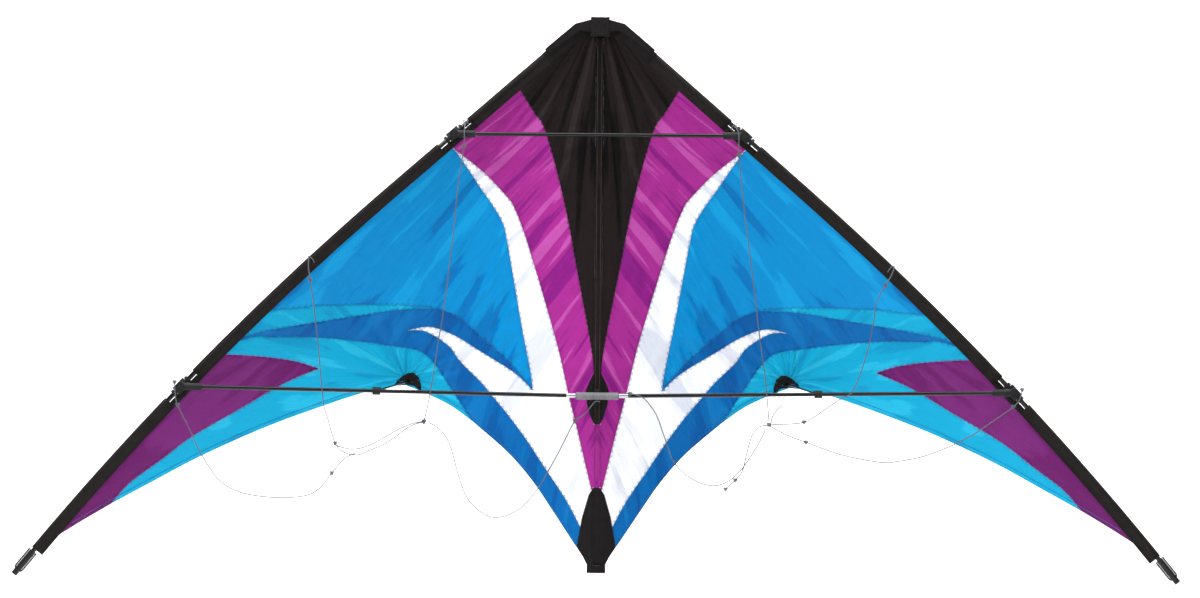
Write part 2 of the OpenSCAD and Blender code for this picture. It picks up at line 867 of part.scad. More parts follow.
edge_ferrule();  // right_edge_ferrule
edge_sleeve();  // right_edge_sleeve
nose_cover();  // right_nose_cover
edge_stops();  // right_edge_stops
connector(upper_s);  // right_upper_connector
upper_socket();  // right_upper_socket
connector(lower_s);  // right_lower_connector
lower_socket();  // right_lower_socket
lower_spreader();  // right_lower_spreader
ferrule();  // right_ferrule
tip_nock();  // right_tip_nock
tip_bungee();  // right_tip_bungee
black_panel();  // right_black_panel
magenta_panel();  // right_magenta_panel
white_panel();  // right_white_panel
blue_panel();  // right_blue_panel
dark_blue_panel();  // right_dark_blue_panel
cyan_panels();  // right_cyan_panels
purple_panel();  // right_purple_panel
wing_patches();  // right_patches
standoff_clip();  // right_standoff_clip
standoff_rod();  // right_standoff_rod
upper_spreader();
cord(left_upper_route);  // left_upper_line
cord(left_middle_route);  // left_middle_line
cord(left_lower_route);  // left_lower_line
cord(left_centre_route);  // left_centre_line
cord(right_upper_route);  // right_upper_line
cord(right_middle_route);  // right_middle_line
cord(right_lower_route);  // right_lower_line
cord(right_centre_route);  // right_centre_line
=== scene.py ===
"""Looks of a two-line delta kite, hung by its nose and seen from its bridle side."""

import json
import logging
import math
from dataclasses import dataclass, field
from enum import Enum
from typing import Iterable, Sequence

import bmesh
import bpy
import numpy as np
from mathutils import Matrix, Vector, noise


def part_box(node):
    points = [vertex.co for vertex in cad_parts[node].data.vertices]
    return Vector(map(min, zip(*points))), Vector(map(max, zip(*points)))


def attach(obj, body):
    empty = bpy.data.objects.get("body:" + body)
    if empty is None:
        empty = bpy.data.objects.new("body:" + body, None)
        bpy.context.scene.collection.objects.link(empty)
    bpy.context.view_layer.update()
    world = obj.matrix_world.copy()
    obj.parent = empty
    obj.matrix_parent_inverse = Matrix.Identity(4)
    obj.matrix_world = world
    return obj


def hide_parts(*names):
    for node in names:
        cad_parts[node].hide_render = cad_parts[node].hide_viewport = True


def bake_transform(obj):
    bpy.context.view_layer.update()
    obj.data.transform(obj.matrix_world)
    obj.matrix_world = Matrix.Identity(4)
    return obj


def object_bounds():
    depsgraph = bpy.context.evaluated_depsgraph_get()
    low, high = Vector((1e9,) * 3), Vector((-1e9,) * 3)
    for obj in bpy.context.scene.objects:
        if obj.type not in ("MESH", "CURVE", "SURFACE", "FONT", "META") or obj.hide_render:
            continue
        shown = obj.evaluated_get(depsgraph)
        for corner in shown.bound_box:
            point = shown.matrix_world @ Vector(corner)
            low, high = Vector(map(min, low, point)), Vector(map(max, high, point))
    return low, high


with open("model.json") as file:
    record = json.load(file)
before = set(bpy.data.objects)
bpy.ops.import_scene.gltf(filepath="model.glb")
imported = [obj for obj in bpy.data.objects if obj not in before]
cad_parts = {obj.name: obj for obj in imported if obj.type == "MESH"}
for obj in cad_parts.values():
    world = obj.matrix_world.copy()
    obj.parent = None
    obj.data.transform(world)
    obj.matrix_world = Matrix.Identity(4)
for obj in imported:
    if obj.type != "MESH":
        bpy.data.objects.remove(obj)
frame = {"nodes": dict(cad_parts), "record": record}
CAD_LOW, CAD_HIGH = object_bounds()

log = logging.getLogger("kite")
MM = 0.001

Point2 = tuple[float, float]
Point3 = tuple[float, float, float]


class Side(Enum):
    """One of the two wings, with its sign along X."""

    LEFT = -1
    RIGHT = 1

    @property
    def label(self) -> str:
        """The wing's name as it stands in the names of its nodes."""
        return self.name.lower()

    @property
    def body(self) -> str:
        """The body that the wing's pieces ride on."""
        return f"{self.label}_wing"


# ---------------------------------------------------------------- helpers


def smooth_points(points: Sequence[Sequence[float]], steps: int) -> list[tuple[float, ...]]:
    """A smooth curve through points, by Catmull and Rom.

    Args:
        points: The points that the curve passes through, of any one dimension.
        steps: Steps between two neighbouring points.

    Returns:
        The curve's points, with both ends.
    """
    p = np.array(points, float)
    out = []
    for i in range(len(p) - 1):
        a, b, c = p[max(i - 1, 0)], p[i], p[i + 1]
        e = p[min(i + 2, len(p) - 1)]
        for k in range(steps):
            t = k / steps
            q = 2 * b + (c - a) * t + (2 * a - 5 * b + 4 * c - e) * t * t
            out.append(tuple(0.5 * (q + (3 * b - a - 3 * c + e) * t**3)))
    out.append(tuple(p[-1]))
    return out


def new_object(name: str, mesh: bpy.types.Mesh) -> bpy.types.Object:
    """Links a mesh to the scene as an object at the origin.

    Args:
        name: The piece's name.
        mesh: Its mesh, in the row frame.

    Returns:
        The new object.
    """
    obj = bpy.data.objects.new(name, mesh)
    bpy.context.scene.collection.objects.link(obj)
    return obj


def mesh_from(
    name: str, verts: Iterable[Sequence[float]], faces: Iterable[Sequence[int]]
) -> bpy.types.Object:
    """Makes an object from vertices and faces, with its normals turned outwards.

    Args:
        name: The piece's name.
        verts: Vertices in the row frame, in metres.
        faces: Faces as lists of vertex numbers.

    Returns:
        The new object.
    """
    mesh = bpy.data.meshes.new(name)
    mesh.from_pydata([tuple(v) for v in verts], [], [tuple(f) for f in faces])
    mesh.validate()
    obj = new_object(name, mesh)
    recalculate(obj)
    shade_smooth(obj)
    return obj


def recalculate(obj: bpy.types.Object) -> None:
    """Turns a mesh's faces outwards.

    Args:
        obj: The mesh object.
    """
    work = bmesh.new()
    work.from_mesh(obj.data)
    bmesh.ops.recalc_face_normals(work, faces=work.faces)
    work.to_mesh(obj.data)
    work.free()


def shade_smooth(obj: bpy.types.Object) -> None:
    """Gives every face of a mesh smooth shading.

    Args:
        obj: The mesh object.
    """
    obj.data.polygons.foreach_set("use_smooth", [True] * len(obj.data.polygons))
    obj.data.update()


def make_active(obj: bpy.types.Object) -> None:
    """Deselects everything and leaves obj selected and active.

    Args:
        obj: The object to select.
    """
    bpy.ops.object.select_all(action="DESELECT")
    obj.select_set(True)
    bpy.context.view_layer.objects.active = obj


def apply_modifier(obj: bpy.types.Object, kind: str, **settings: object) -> None:
    """Adds a modifier to a piece and applies it.

    Args:
        obj: The piece.
        kind: The modifier's type.
        **settings: The modifier's own settings.
    """
    make_active(obj)
    modifier = obj.modifiers.new(kind.title(), kind)
    for key, value in settings.items():
        setattr(modifier, key, value)
    bpy.ops.object.modifier_apply(modifier=modifier.name)


def settle(obj: bpy.types.Object) -> None:
    """Moves an object's place into its mesh and leaves the object at the origin.

    Args:
        obj: The object to move.
    """
    make_active(obj)
    bpy.ops.object.transform_apply(location=True, rotation=True, scale=True)
    shade_smooth(obj)


def clothe(obj: bpy.types.Object, material: bpy.types.Material) -> None:
    """Gives a new piece its material.

    Args:
        obj: The piece.
        material: Its material.
    """
    obj.data.materials.clear()
    obj.data.materials.append(material)


def mirror_x(points: Iterable[Sequence[float]], side: Side) -> list[Point3]:
    """Points of the right wing, turned into those of the asked wing.

    Args:
        points: Points of the right wing.
        side: The wing that they are wanted for.

    Returns:
        The points, with X turned round for the left wing.
    """
    return [(side.value * p[0], p[1], p[2]) for p in points]


# ---------------------------------------------------------------- plan of the kite


@dataclass(frozen=True)
class Plan:
    """The kite's plan in metres: its leading edge line, its sail's belly and its creases.

    A depth is a distance below the top of the nose.
    """

    wingspan: float = 1.8
    height: float = 0.858
    tip_below_tail: float = 0.005
    edge_straight: float = 0.375
    edge_bow: float = math.radians(9.5)
    nose_gap: float = 0.033
    nose_drop: float = 0.017
    nock_len: float = 0.040
    sleeve_w: float = 0.015
    sail_depth: float = 0.100
    hinge_x: float = 0.006
    upper_level: float = 0.183
    lower_level: float = 0.585
    lower_rise: float = 0.010
    art_w: float = 900.0
    art_h: float = 858.0

    def place(self, p: Point2) -> Point2:
        """A point of the artwork, in metres at the kite's size.

        Args:
            p: A point of the artwork.

        Returns:
            The point as x and depth.
        """
        return (p[0] * self.wingspan / 2 / self.art_w, p[1] * self.height / self.art_h)

    def seam(self, points: Sequence[Point2], steps: int = 6) -> list[Point2]:
        """A smooth seam through points of the artwork, in metres.

        Args:
            points: Points of the artwork.
            steps: Steps between two of them.

        Returns:
            The seam's points, as x and depth.
        """
        return [self.place((q[0], q[1])) for q in smooth_points(points, steps)]

    @property
    def run(self) -> tuple[float, float, float]:
        """The bow's radius, the slope of the straight part and the rod's length."""
        run_x = self.wingspan / 2 - self.nose_gap
        run_d = self.height + self.tip_below_tail - self.nose_drop
        reach = math.hypot(run_x, run_d) - self.nock_len
        half = self.edge_bow / 2
        rise = self.edge_straight * math.sin(half)
        chord = math.sqrt(reach**2 - rise**2) - self.edge_straight * math.cos(half)
        radius = chord / (2 * math.sin(half))
        turn = math.atan2(chord * math.sin(half), self.edge_straight + chord * math.cos(half))
        angle = math.atan2(run_d, run_x) - turn
        return radius, angle, self.edge_straight + radius * self.edge_bow

    @property
    def bow_centre(self) -> Point2:
        """Centre of the bowed part, as x and depth."""
        radius, angle, _ = self.run
        x = self.nose_gap + self.edge_straight * math.cos(angle)
        d = self.nose_drop + self.edge_straight * math.sin(angle)
        return x - radius * math.sin(angle), d + radius * math.cos(angle)

    def slope(self, s: float) -> float:
        """Slope of the leading edge at a distance s along it.

        Args:
            s: Distance along the rod from its nose end.

        Returns:
            The slope in radians.
        """
        radius, angle, _ = self.run
        return angle + max(0.0, s - self.edge_straight) / radius

    def edge_point(self, s: float, out: float = 0.0, back: float = 0.0) -> Point3:
        """A point beside the right leading edge rod.

        Args:
            s: Distance along the rod from its nose end.
            out: Distance outwards from the rod's axis.
            back: Distance behind the rod's axis.

        Returns:
            The point in the row frame.
        """
        radius, _, _ = self.run
        a = self.slope(s)
        cx, cd = self.bow_centre
        short = max(0.0, self.edge_straight - s)
        x = cx + (radius + out) * math.sin(a) - short * math.cos(a)
        d = cd - (radius + out) * math.cos(a) - short * math.sin(a)
        return x, back, -d

    def edge_x(self, d: float, inset: float) -> float:
        """Half width of the kite at a depth, to a line inside the rod by inset.

        Args:
            d: Depth below the nose.
            inset: Distance inside the rod's axis.

        Returns:
            The half width there.
        """
        radius, angle, _ = self.run
        cx, cd = self.bow_centre
        r = radius - inset
        top = cd - r * math.cos(angle)
        if d < top:
            return cx + r * math.sin(angle) - (top - d) / math.tan(angle)
        return cx + math.sqrt(max(r * r - (cd - d) ** 2, 0.0))

    def edge_at(self, d: float) -> float:
        """Distance along the rod at which it reaches a depth.

        Args:
            d: Depth below the nose.

        Returns:
            The distance along the rod.
        """
        radius, angle, _ = self.run
        _, cd = self.bow_centre
        if d < self.nose_drop + self.edge_straight * math.sin(angle):
            return (d - self.nose_drop) / math.sin(angle)
        return self.edge_straight + (math.acos((cd - d) / radius) - angle) * radius

    @property
    def apex(self) -> Point2:
        """Where the standoff holds the sail's edge."""
        return self.place((299, 572))

    def belly(self, x: float, d: float) -> float:
        """How far back the sail lies, without its creases.

        Args:
            x: Distance from the spine.
            d: Depth below the nose.

        Returns:
            The distance behind the sail's plane.
        """
        across = (x - self.hinge_x) / max(self.edge_x(d, self.sleeve_w) - self.hinge_x, 1e-6)
        share = math.sin(math.pi * min(max(across, 0.0), 1.0))
        return self.sail_depth * share * (max(d, 0.0) / self.apex[1]) ** 1.2

    def creases(self, x: float, d: float) -> float:
        """Small folds and pulls of the stretched cloth at a place of the sail.

        Args:
            x: Distance from the spine.
            d: Depth below the nose.

        Returns:
            The creases' height.
        """
        ax, ad = self.apex
        dx, dd = x - ax, d - ad
        r = math.hypot(dx, dd)
        turn = math.atan2(dd, dx)
        fan = math.sin(turn * 17 + 1.3 * math.sin(turn * 5)) * math.exp(-(((r - 0.06) / 0.07) ** 2))
        rays = math.atan2(x, d)
        nose_share = math.exp(-(((d - 0.13) / 0.12) ** 2))
        nose = math.sin(rays * 62 + 2 * math.sin(rays * 19)) * nose_share
        wx, wd = self.place((150, 470))
        wr = math.exp(-(((x - wx) / 0.07) ** 2) - ((d - wd) / 0.11) ** 2)
        along = (x - wx) * 0.62 + (d - wd) * 0.78
        over = (x - wx) * 0.78 - (d - wd) * 0.62
        wedge = (noise.noise(Vector((over * 95, along * 22, 3.1))) * 1.4) * wr
        pull = noise.noise(Vector((x * 75 + d * 30, d * 24 - x * 14, 9.7)))
        pull *= math.exp(-(((x - 0.12 + 0.1 * d) / 0.09) ** 2))
        broad = noise.noise(Vector((x * 11, d * 11, 0.4)))
        fine = noise.noise(Vector((x * 52, d * 52, 5.2)))
        free = min(1.0, max(0.0, (x - self.hinge_x) / 0.02))
        free *= min(1.0, max(0.0, (self.edge_x(d, self.sleeve_w) - x) / 0.02))
        waves = 1.3 * fan + 0.9 * nose + 2.2 * wedge + 1.5 * pull + 1.6 * broad + 0.32 * fine
        return 1.5 * MM * free * waves

    def on_sail(self, x: float, d: float, lift: float = 0.0) -> Point3:
        """A point on the right wing's sail, moved forward by lift.

        Args:
            x: Distance from the spine.
            d: Depth below the nose.
            lift: Distance in front of the sail.

        Returns:
            The point in the row frame.
        """
        return x, self.belly(x, d) + self.creases(x, d) - lift, -d


# ---------------------------------------------------------------- finishes


class Nodes:
    """A short way to build a material's nodes."""

    def __init__(self, name: str) -> None:
        """Starts a material with only its shader and output.

        Args:
            name: The material's name.
        """
        self.material = bpy.data.materials.new(name)
        self.material.use_nodes = True
        self.tree = self.material.node_tree
        self.shader = next(n for n in self.tree.nodes if n.type == "BSDF_PRINCIPLED")

    def add(self, kind: str, **values: object) -> bpy.types.Node:
        """Adds a node and sets its properties, or its inputs where a name has a capital.

        Args:
            kind: The node's type.
            values: Properties, and inputs where a name has a capital.

        Returns:
            The node.
        """
        node = self.tree.nodes.new(kind)
        for key, value in values.items():
            if key[0].isupper():
                node.inputs[key.replace("_", " ")].default_value = value
            else:
                setattr(node, key, value)
        return node

    def link(self, a: bpy.types.NodeSocket, b: bpy.types.NodeSocket) -> None:
        """Joins two sockets.

        Args:
            a: The socket that gives.
            b: The socket that takes.
        """
        self.tree.links.new(a, b)

    def coords(
        self, scale: Sequence[float] = (1, 1, 1), turn: Sequence[float] = (0, 0, 0)
    ) -> bpy.types.NodeSocket:
        """Object coordinates, scaled and turned.

        Args:
            scale: Scale along each axis.
            turn: Turn about each axis.

        Returns:
            The coordinates.
        """
        source = self.add("ShaderNodeTexCoord")
        mapping = self.add("ShaderNodeMapping")
        mapping.inputs["Scale"].default_value = scale
        mapping.inputs["Rotation"].default_value = turn
        self.link(source.outputs["Object"], mapping.inputs["Vector"])
        return mapping.outputs["Vector"]

    def fan(self, centre: Point2, count: float, along: float) -> bpy.types.NodeSocket:
        """Coordinates of folds that radiate from a place on either wing.

        Args:
            centre: The place, as x and depth of the right wing.
            count: Folds in a radian.
            along: Changes in a metre along a fold.

        Returns:
            A vector of the turn and the distance from the place.
        """
        split = self.add("ShaderNodeSeparateXYZ")
        self.link(self.coords(), split.inputs[0])
        dx = self.maths("SUBTRACT", self.maths("ABSOLUTE", split.outputs[0], 0.0), centre[0])
        dz = self.maths("SUBTRACT", -centre[1], split.outputs[2])
        turn = self.maths("ARCTAN2", dx, dz)
        reach = self.maths(
            "POWER", self.maths("ADD", self.maths("MULTIPLY", dx, dx), self.maths("MULTIPLY", dz, dz)), 0.5
        )
        joined = self.add("ShaderNodeCombineXYZ")
        self.link(self.maths("MULTIPLY", turn, count), joined.inputs[0])
        self.link(self.maths("MULTIPLY", reach, along), joined.inputs[1])
        return joined.outputs[0]

    def noise(
        self, vector: bpy.types.NodeSocket, scale: float, detail: float = 4.0, rough: float = 0.55
    ) -> bpy.types.NodeSocket:
        """A noise pattern on a vector.

        Args:
            vector: Where it is read.
            scale: Its scale.
            detail: Its octaves.
            rough: How strong the finer ones are.

        Returns:
            The pattern, about 0 to 1.
        """
        node = self.add("ShaderNodeTexNoise", Scale=scale, Detail=detail, Roughness=rough)
        self.link(vector, node.inputs["Vector"])
        return node.outputs["Fac"]

    def maths(self, operation: str, a: object, b: object) -> bpy.types.NodeSocket:
        """Arithmetic on two sockets or numbers.

        Args:
            operation: What is done.
            a: The first value.
            b: The second value.

        Returns:
            The result.
        """
        node = self.add("ShaderNodeMath", operation=operation)
        for i, value in enumerate((a, b)):
            if isinstance(value, (int, float)):
                node.inputs[i].default_value = value
            else:
                self.link(value, node.inputs[i])
        return node.outputs[0]

    def ramp(
        self, fac: bpy.types.NodeSocket, stops: Sequence[tuple[float, Sequence[float]]]
    ) -> bpy.types.NodeSocket:
        """A colour ramp.

        Args:
            fac: What the ramp reads.
            stops: Places and linear colours.

        Returns:
            The ramp's colour.
        """
        node = self.add("ShaderNodeValToRGB")
        elements = node.color_ramp.elements
        while len(elements) < len(stops):
            elements.new(0.5)
        for element, (where, colour) in zip(elements, stops):
            element.position = where
            element.color = (*colour[:3], 1.0)
        self.link(fac, node.inputs["Fac"])
        return node.outputs["Color"]

    def mix(self, fac: object, a: object, b: object) -> bpy.types.NodeSocket:
        """Mixes two colours, each a socket or a linear colour.

        Args:
            fac: Share of the second colour.
            a: The first colour.
            b: The second colour.

        Returns:
            The mixed colour.
        """
        node = self.add("ShaderNodeMix", data_type="RGBA")
        for i, value in ((0, fac), (6, a), (7, b)):
            if isinstance(value, (int, float)):
                node.inputs[i].default_value = value
            elif isinstance(value, (tuple, list)):
                node.inputs[i].default_value = (*value[:3], 1.0)
            else:
                self.link(value, node.inputs[i])
        return node.outputs[2]

    def bump(
        self, height: bpy.types.NodeSocket, strength: float, distance: float, below: object = None
    ) -> bpy.types.NodeSocket:
        """A bump, on top of another one where below is given.

        Args:
            height: The height that it reads.
            strength: How strong it is.
            distance: Its height in metres.
            below: The bump that it lies on.

        Returns:
            The bumped normal.
        """
        node = self.add("ShaderNodeBump", Strength=strength, Distance=distance)
        self.link(height, node.inputs["Height"])
        if below is not None:
            self.link(below, node.inputs["Normal"])
        return node.outputs["Normal"]

    def stripes(
        self, vector: bpy.types.NodeSocket, axis: int, pitch: float, sharp: float
    ) -> bpy.types.NodeSocket:
        """Thin threads a pitch apart across one axis, as 0 to 1.

        Args:
            vector: Where they are read.
            axis: The axis that they cross.
            pitch: Distance between two of them.
            sharp: How thin they are.

        Returns:
            The threads.
        """
        split = self.add("ShaderNodeSeparateXYZ")
        self.link(vector, split.inputs[0])
        wave = self.maths("SINE", self.maths("MULTIPLY", split.outputs[axis], math.tau / pitch), 0.0)
        raised = self.maths("MAXIMUM", wave, 0.0)
        return self.maths("POWER", raised, sharp)


def linear(colour: str) -> tuple[float, float, float]:
    """A linear colour from a hex one.

    Args:
        colour: The colour as #rrggbb.

    Returns:
        Its linear red, green and blue.
    """
    parts = [int(colour[i : i + 2], 16) / 255 for i in (1, 3, 5)]
    return tuple(c / 12.92 if c <= 0.04045 else ((c + 0.055) / 1.055) ** 2.4 for c in parts)


@dataclass(frozen=True)
class Ripstop:
    """Coated ripstop sailcloth: a fine weave, a grid of thicker threads, and creases that radiate, with
    painted highlights and painted shade along the creases.
    """

    name: str
    base: str
    # light: painted highlight colour on the creases; dark: painted shade colour in the folds, also used to
    # tint the thread grid and grain
    light: str
    dark: str
    centre: Point2 = (0.0, 0.0)
    folds: tuple[float, float] = (9.0, 2.0)
    spread: float = 0.06
    crease: float = 0.5
    roughness: float = 0.42
    gloss: float = 0.1

    def build(self) -> bpy.types.Material:
        """The finish as a material."""
        n = Nodes(self.name)
        flat = n.coords()
        bands = n.noise(n.fan(self.centre, *self.folds), 1.0, 2.0, 0.5)
        creases = n.noise(n.fan(self.centre, self.folds[0] * 3.6, self.folds[1] * 5), 1.0, 5.0, 0.62)
        crumple = n.noise(flat, 34.0, 5.0, 0.6)
        both = n.maths("ADD", n.maths("MULTIPLY", bands, 0.8), n.maths("MULTIPLY", creases, 0.2))
        half = self.spread / 2
        # Painted highlight and painted shade: along the radiating fold bands the colour turns to the light
        # colour on one side and to the dark colour on the other
        tone = n.ramp(
            both,
            [
                (0.44 - half, linear(self.dark)),
                (0.47 - half, linear(self.base)),
                (0.52 + half, linear(self.base)),
                (0.55 + half, linear(self.light)),
            ],
        )
        grid = n.maths("MAXIMUM", n.stripes(flat, 0, 0.005, 30.0), n.stripes(flat, 2, 0.005, 30.0))
        weave = n.maths("MULTIPLY", n.stripes(flat, 0, 0.0006, 1.0), n.stripes(flat, 2, 0.0006, 1.0))
        grain = n.noise(flat, 900.0, 2.0)
        shade = n.maths("ADD", n.maths("MULTIPLY", grid, 0.2), n.maths("MULTIPLY", grain, 0.3))
        n.link(n.mix(shade, tone, linear(self.dark)), n.shader.inputs["Base Color"])
        rough = n.maths("ADD", n.maths("MULTIPLY", creases, 0.3), self.roughness - 0.15)
        n.link(rough, n.shader.inputs["Roughness"])
        wide = n.bump(bands, self.crease, 0.012)
        folded = n.bump(n.maths("ADD", creases, n.maths("MULTIPLY", crumple, 0.6)), self.crease, 0.0045, wide)
        threads = n.bump(n.maths("ADD", grid, n.maths("MULTIPLY", weave, 0.5)), 0.35, 0.0002, folded)
        n.link(threads, n.shader.inputs["Normal"])
        n.shader.inputs["Specular IOR Level"].default_value = self.gloss
        n.shader.inputs["Sheen Weight"].default_value = 0.0
        return n.material


@dataclass(frozen=True)
class Woven:
    """A matte woven tape or webbing, with ribs along and across it."""

    name: str
    base: str
    light: str
    pitch: float = 0.0016
    roughness: float = 0.78
    sheen: float = 0.04

    def build(self) -> bpy.types.Material:
        """The finish as a material."""
        n = Nodes(self.name)
        turned = n.coords((1, 1, 1), (0, math.radians(45), 0))
        flat = n.coords()
        across = n.stripes(turned, 0, self.pitch, 1.0)
        along = n.stripes(turned, 2, self.pitch, 1.0)
        ribs = n.maths("ADD", n.maths("MULTIPLY", across, 0.5), n.maths("MULTIPLY", along, 0.5))
        worn = n.noise(flat, 70.0, 5.0)
        fac = n.maths("MULTIPLY", n.maths("ADD", ribs, worn), 0.5)
        colour = n.ramp(fac, [(0.2, linear(self.base)), (0.75, linear(self.light))])
        n.link(colour, n.shader.inputs["Base Color"])
        n.shader.inputs["Roughness"].default_value = self.roughness
        n.shader.inputs["Specular IOR Level"].default_value = 0.15
        n.shader.inputs["Sheen Weight"].default_value = self.sheen
        n.shader.inputs["Sheen Roughness"].default_value = 0.5
        n.link(n.bump(fac, 0.5, 0.0005), n.shader.inputs["Normal"])
        return n.material


@dataclass(frozen=True)
class Moulded:
    """A moulded or drawn hard finish, with a fine grain, faint scuffs and a soft gloss."""

    name: str
    base: str
    light: str
    roughness: float
    metallic: float = 0.0
    coat: float = 0.0
    grain: float = 700.0
    depth: float = 0.00008
    stretch: tuple[float, float, float] = (1.0, 1.0, 1.0)
    gloss: float = 0.3

    def build(self) -> bpy.types.Material:
        """The finish as a material."""
        n = Nodes(self.name)
        where = n.coords(self.stretch)
        grain = n.noise(where, self.grain, 3.0)
        scuffs = n.noise(where, 45.0, 6.0, 0.7)
        fac = n.maths("ADD", n.maths("MULTIPLY", grain, 0.35), n.maths("MULTIPLY", scuffs, 0.65))
        n.link(
            n.ramp(fac, [(0.4, linear(self.base)), (0.72, linear(self.light))]), n.shader.inputs["Base Color"]
        )
        rough = n.maths("ADD", n.maths("MULTIPLY", scuffs, 0.2), self.roughness - 0.1)
        n.link(rough, n.shader.inputs["Roughness"])
        n.shader.inputs["Metallic"].default_value = self.metallic
        n.shader.inputs["Specular IOR Level"].default_value = self.gloss
        n.shader.inputs["Coat Weight"].default_value = self.coat
        n.shader.inputs["Coat Roughness"].default_value = 0.12
        n.link(n.bump(fac, 0.4, self.depth), n.shader.inputs["Normal"])
        return n.material


@dataclass(frozen=True)
class Braid:
    """Braided cord, its plait following the cord by its own UV map."""

    name: str
    base: str
    light: str
    turns: float = 260.0

    def build(self) -> bpy.types.Material:
        """The finish as a material."""
        n = Nodes(self.name)
        source = n.add("ShaderNodeUVMap")
        source.uv_map = "along"
        split = n.add("ShaderNodeSeparateXYZ")
        n.link(source.outputs["UV"], split.inputs[0])
        lean = n.maths("MULTIPLY", split.outputs[0], math.tau * 2)
        run = n.maths("MULTIPLY", split.outputs[1], self.turns * math.tau)
        one = n.maths("SINE", n.maths("ADD", run, lean), 0.0)
        two = n.maths("SINE", n.maths("SUBTRACT", run, lean), 0.0)
        plait = n.maths("ADD", n.maths("MULTIPLY", n.maths("MAXIMUM", one, two), 0.5), 0.5)
        n.link(
            n.ramp(plait, [(0.2, linear(self.base)), (0.9, linear(self.light))]),
            n.shader.inputs["Base Color"],
        )
        n.shader.inputs["Roughness"].default_value = 0.72
        n.shader.inputs["Sheen Weight"].default_value = 0.2
        n.link(n.bump(plait, 0.6, 0.0002), n.shader.inputs["Normal"])
        return n.material


@dataclass
class Finishes:
    """Every finish of the kite, each built once."""

    recipes: dict[str, object] = field(
        default_factory=lambda: {
            # Sailcloths: name, the cloth's own colour, the painted highlight colour and the painted shade
            # colour of its creases, the centre that the painted folds radiate from, folds per radian and
            # changes per metre, spread of the plain colour, and bump strength
            "black_cloth": Ripstop(
                "black_sailcloth", "#1d1516", "#2b2323", "#060404", (0, -0.01), (7, 1.5), 0.02, 0.8
            ),
            "magenta_cloth": Ripstop(
                "magenta_sailcloth", "#a02a88", "#b850a2", "#801878", (-0.5, -0.36), (42, 2.5), 0.04, 0.6
            ),
            "white_cloth": Ripstop(
                "white_sailcloth", "#eff0f4", "#fafbfd", "#d3d7e2", (-0.4, -0.2), (26, 3), 0.03, 0.8
            ),
            "blue_cloth": Ripstop(
                "blue_sailcloth", "#0088c6", "#0a9ad4", "#006cae", (-0.18, -0.18), (22, 3), 0.06, 0.8
            ),
            "dark_blue_cloth": Ripstop(
                "dark_blue_sailcloth", "#0062a6", "#0670b2", "#005296", (-0.1, -0.1), (22, 4), 0.06, 0.7
            ),
            "cyan_cloth": Ripstop(
                "cyan_sailcloth", "#05a0c8", "#22b2d6", "#008cba", (0.299, 0.56), (4, 5), 0.07, 0.5
            ),
            "purple_cloth": Ripstop(
                "purple_sailcloth", "#641460", "#722270", "#520c4e", (0.2, 0.3), (10, 3), 0.06, 0.5
            ),
            "sleeve_cloth": Woven("sleeve_cloth", "#0c0909", "#221c1b", 0.0012, 0.7, 0.03),
            "webbing": Woven("nose_webbing", "#080707", "#1d1919", 0.0022, 0.82, 0.03),
            "patch_cloth": Woven("patch_cloth", "#070606", "#191515", 0.0014, 0.75, 0.02),
            "carbon_rod": Moulded("carbon_rod", "#040405", "#0c0c0e", 0.2, 0.0, 0.15, 260.0, 0.00004),
            "moulded_rubber": Moulded("moulded_rubber", "#0a0a0b", "#1a1a1d", 0.62),
            "moulded_plastic": Moulded("moulded_plastic", "#09090a", "#17171a", 0.42),
            "grey_tube": Moulded("grey_tube", "#5c5c5f", "#949497", 0.6, 0.0, 0.0, 420.0, 0.0004),
            "ferrule_metal": Moulded("ferrule_metal", "#a9abae", "#e2e3e5", 0.28, 1.0, 0.0, 300.0),
            "bungee": Woven("bungee_cord", "#151516", "#3a3a3e", 0.0009, 0.75),
            "bridle_cord": Braid("bridle_cord", "#2b2f34", "#555b62"),
            "dark_thread": Woven("dark_thread", "#120e0f", "#332b2b", 0.0004, 0.8, 0.1),
            "blue_thread": Woven("blue_thread", "#005c9e", "#0079bd", 0.0004, 0.7, 0.1),
            "grey_thread": Woven("grey_thread", "#3c3432", "#6a605c", 0.0004, 0.8, 0.1),
            "pink_thread": Woven("pink_thread", "#7f1678", "#a33196", 0.0004, 0.8, 0.1),
        }
    )
    made: dict[str, bpy.types.Material] = field(default_factory=dict)

    def get(self, name: str) -> bpy.types.Material:
        """The material of a finish, built at its first use.

        Args:
            name: The finish's name.

        Returns:
            The material.
        """
        if name not in self.made:
            self.made[name] = self.recipes[name].build()
        return self.made[name]


# ---------------------------------------------------------------- sail


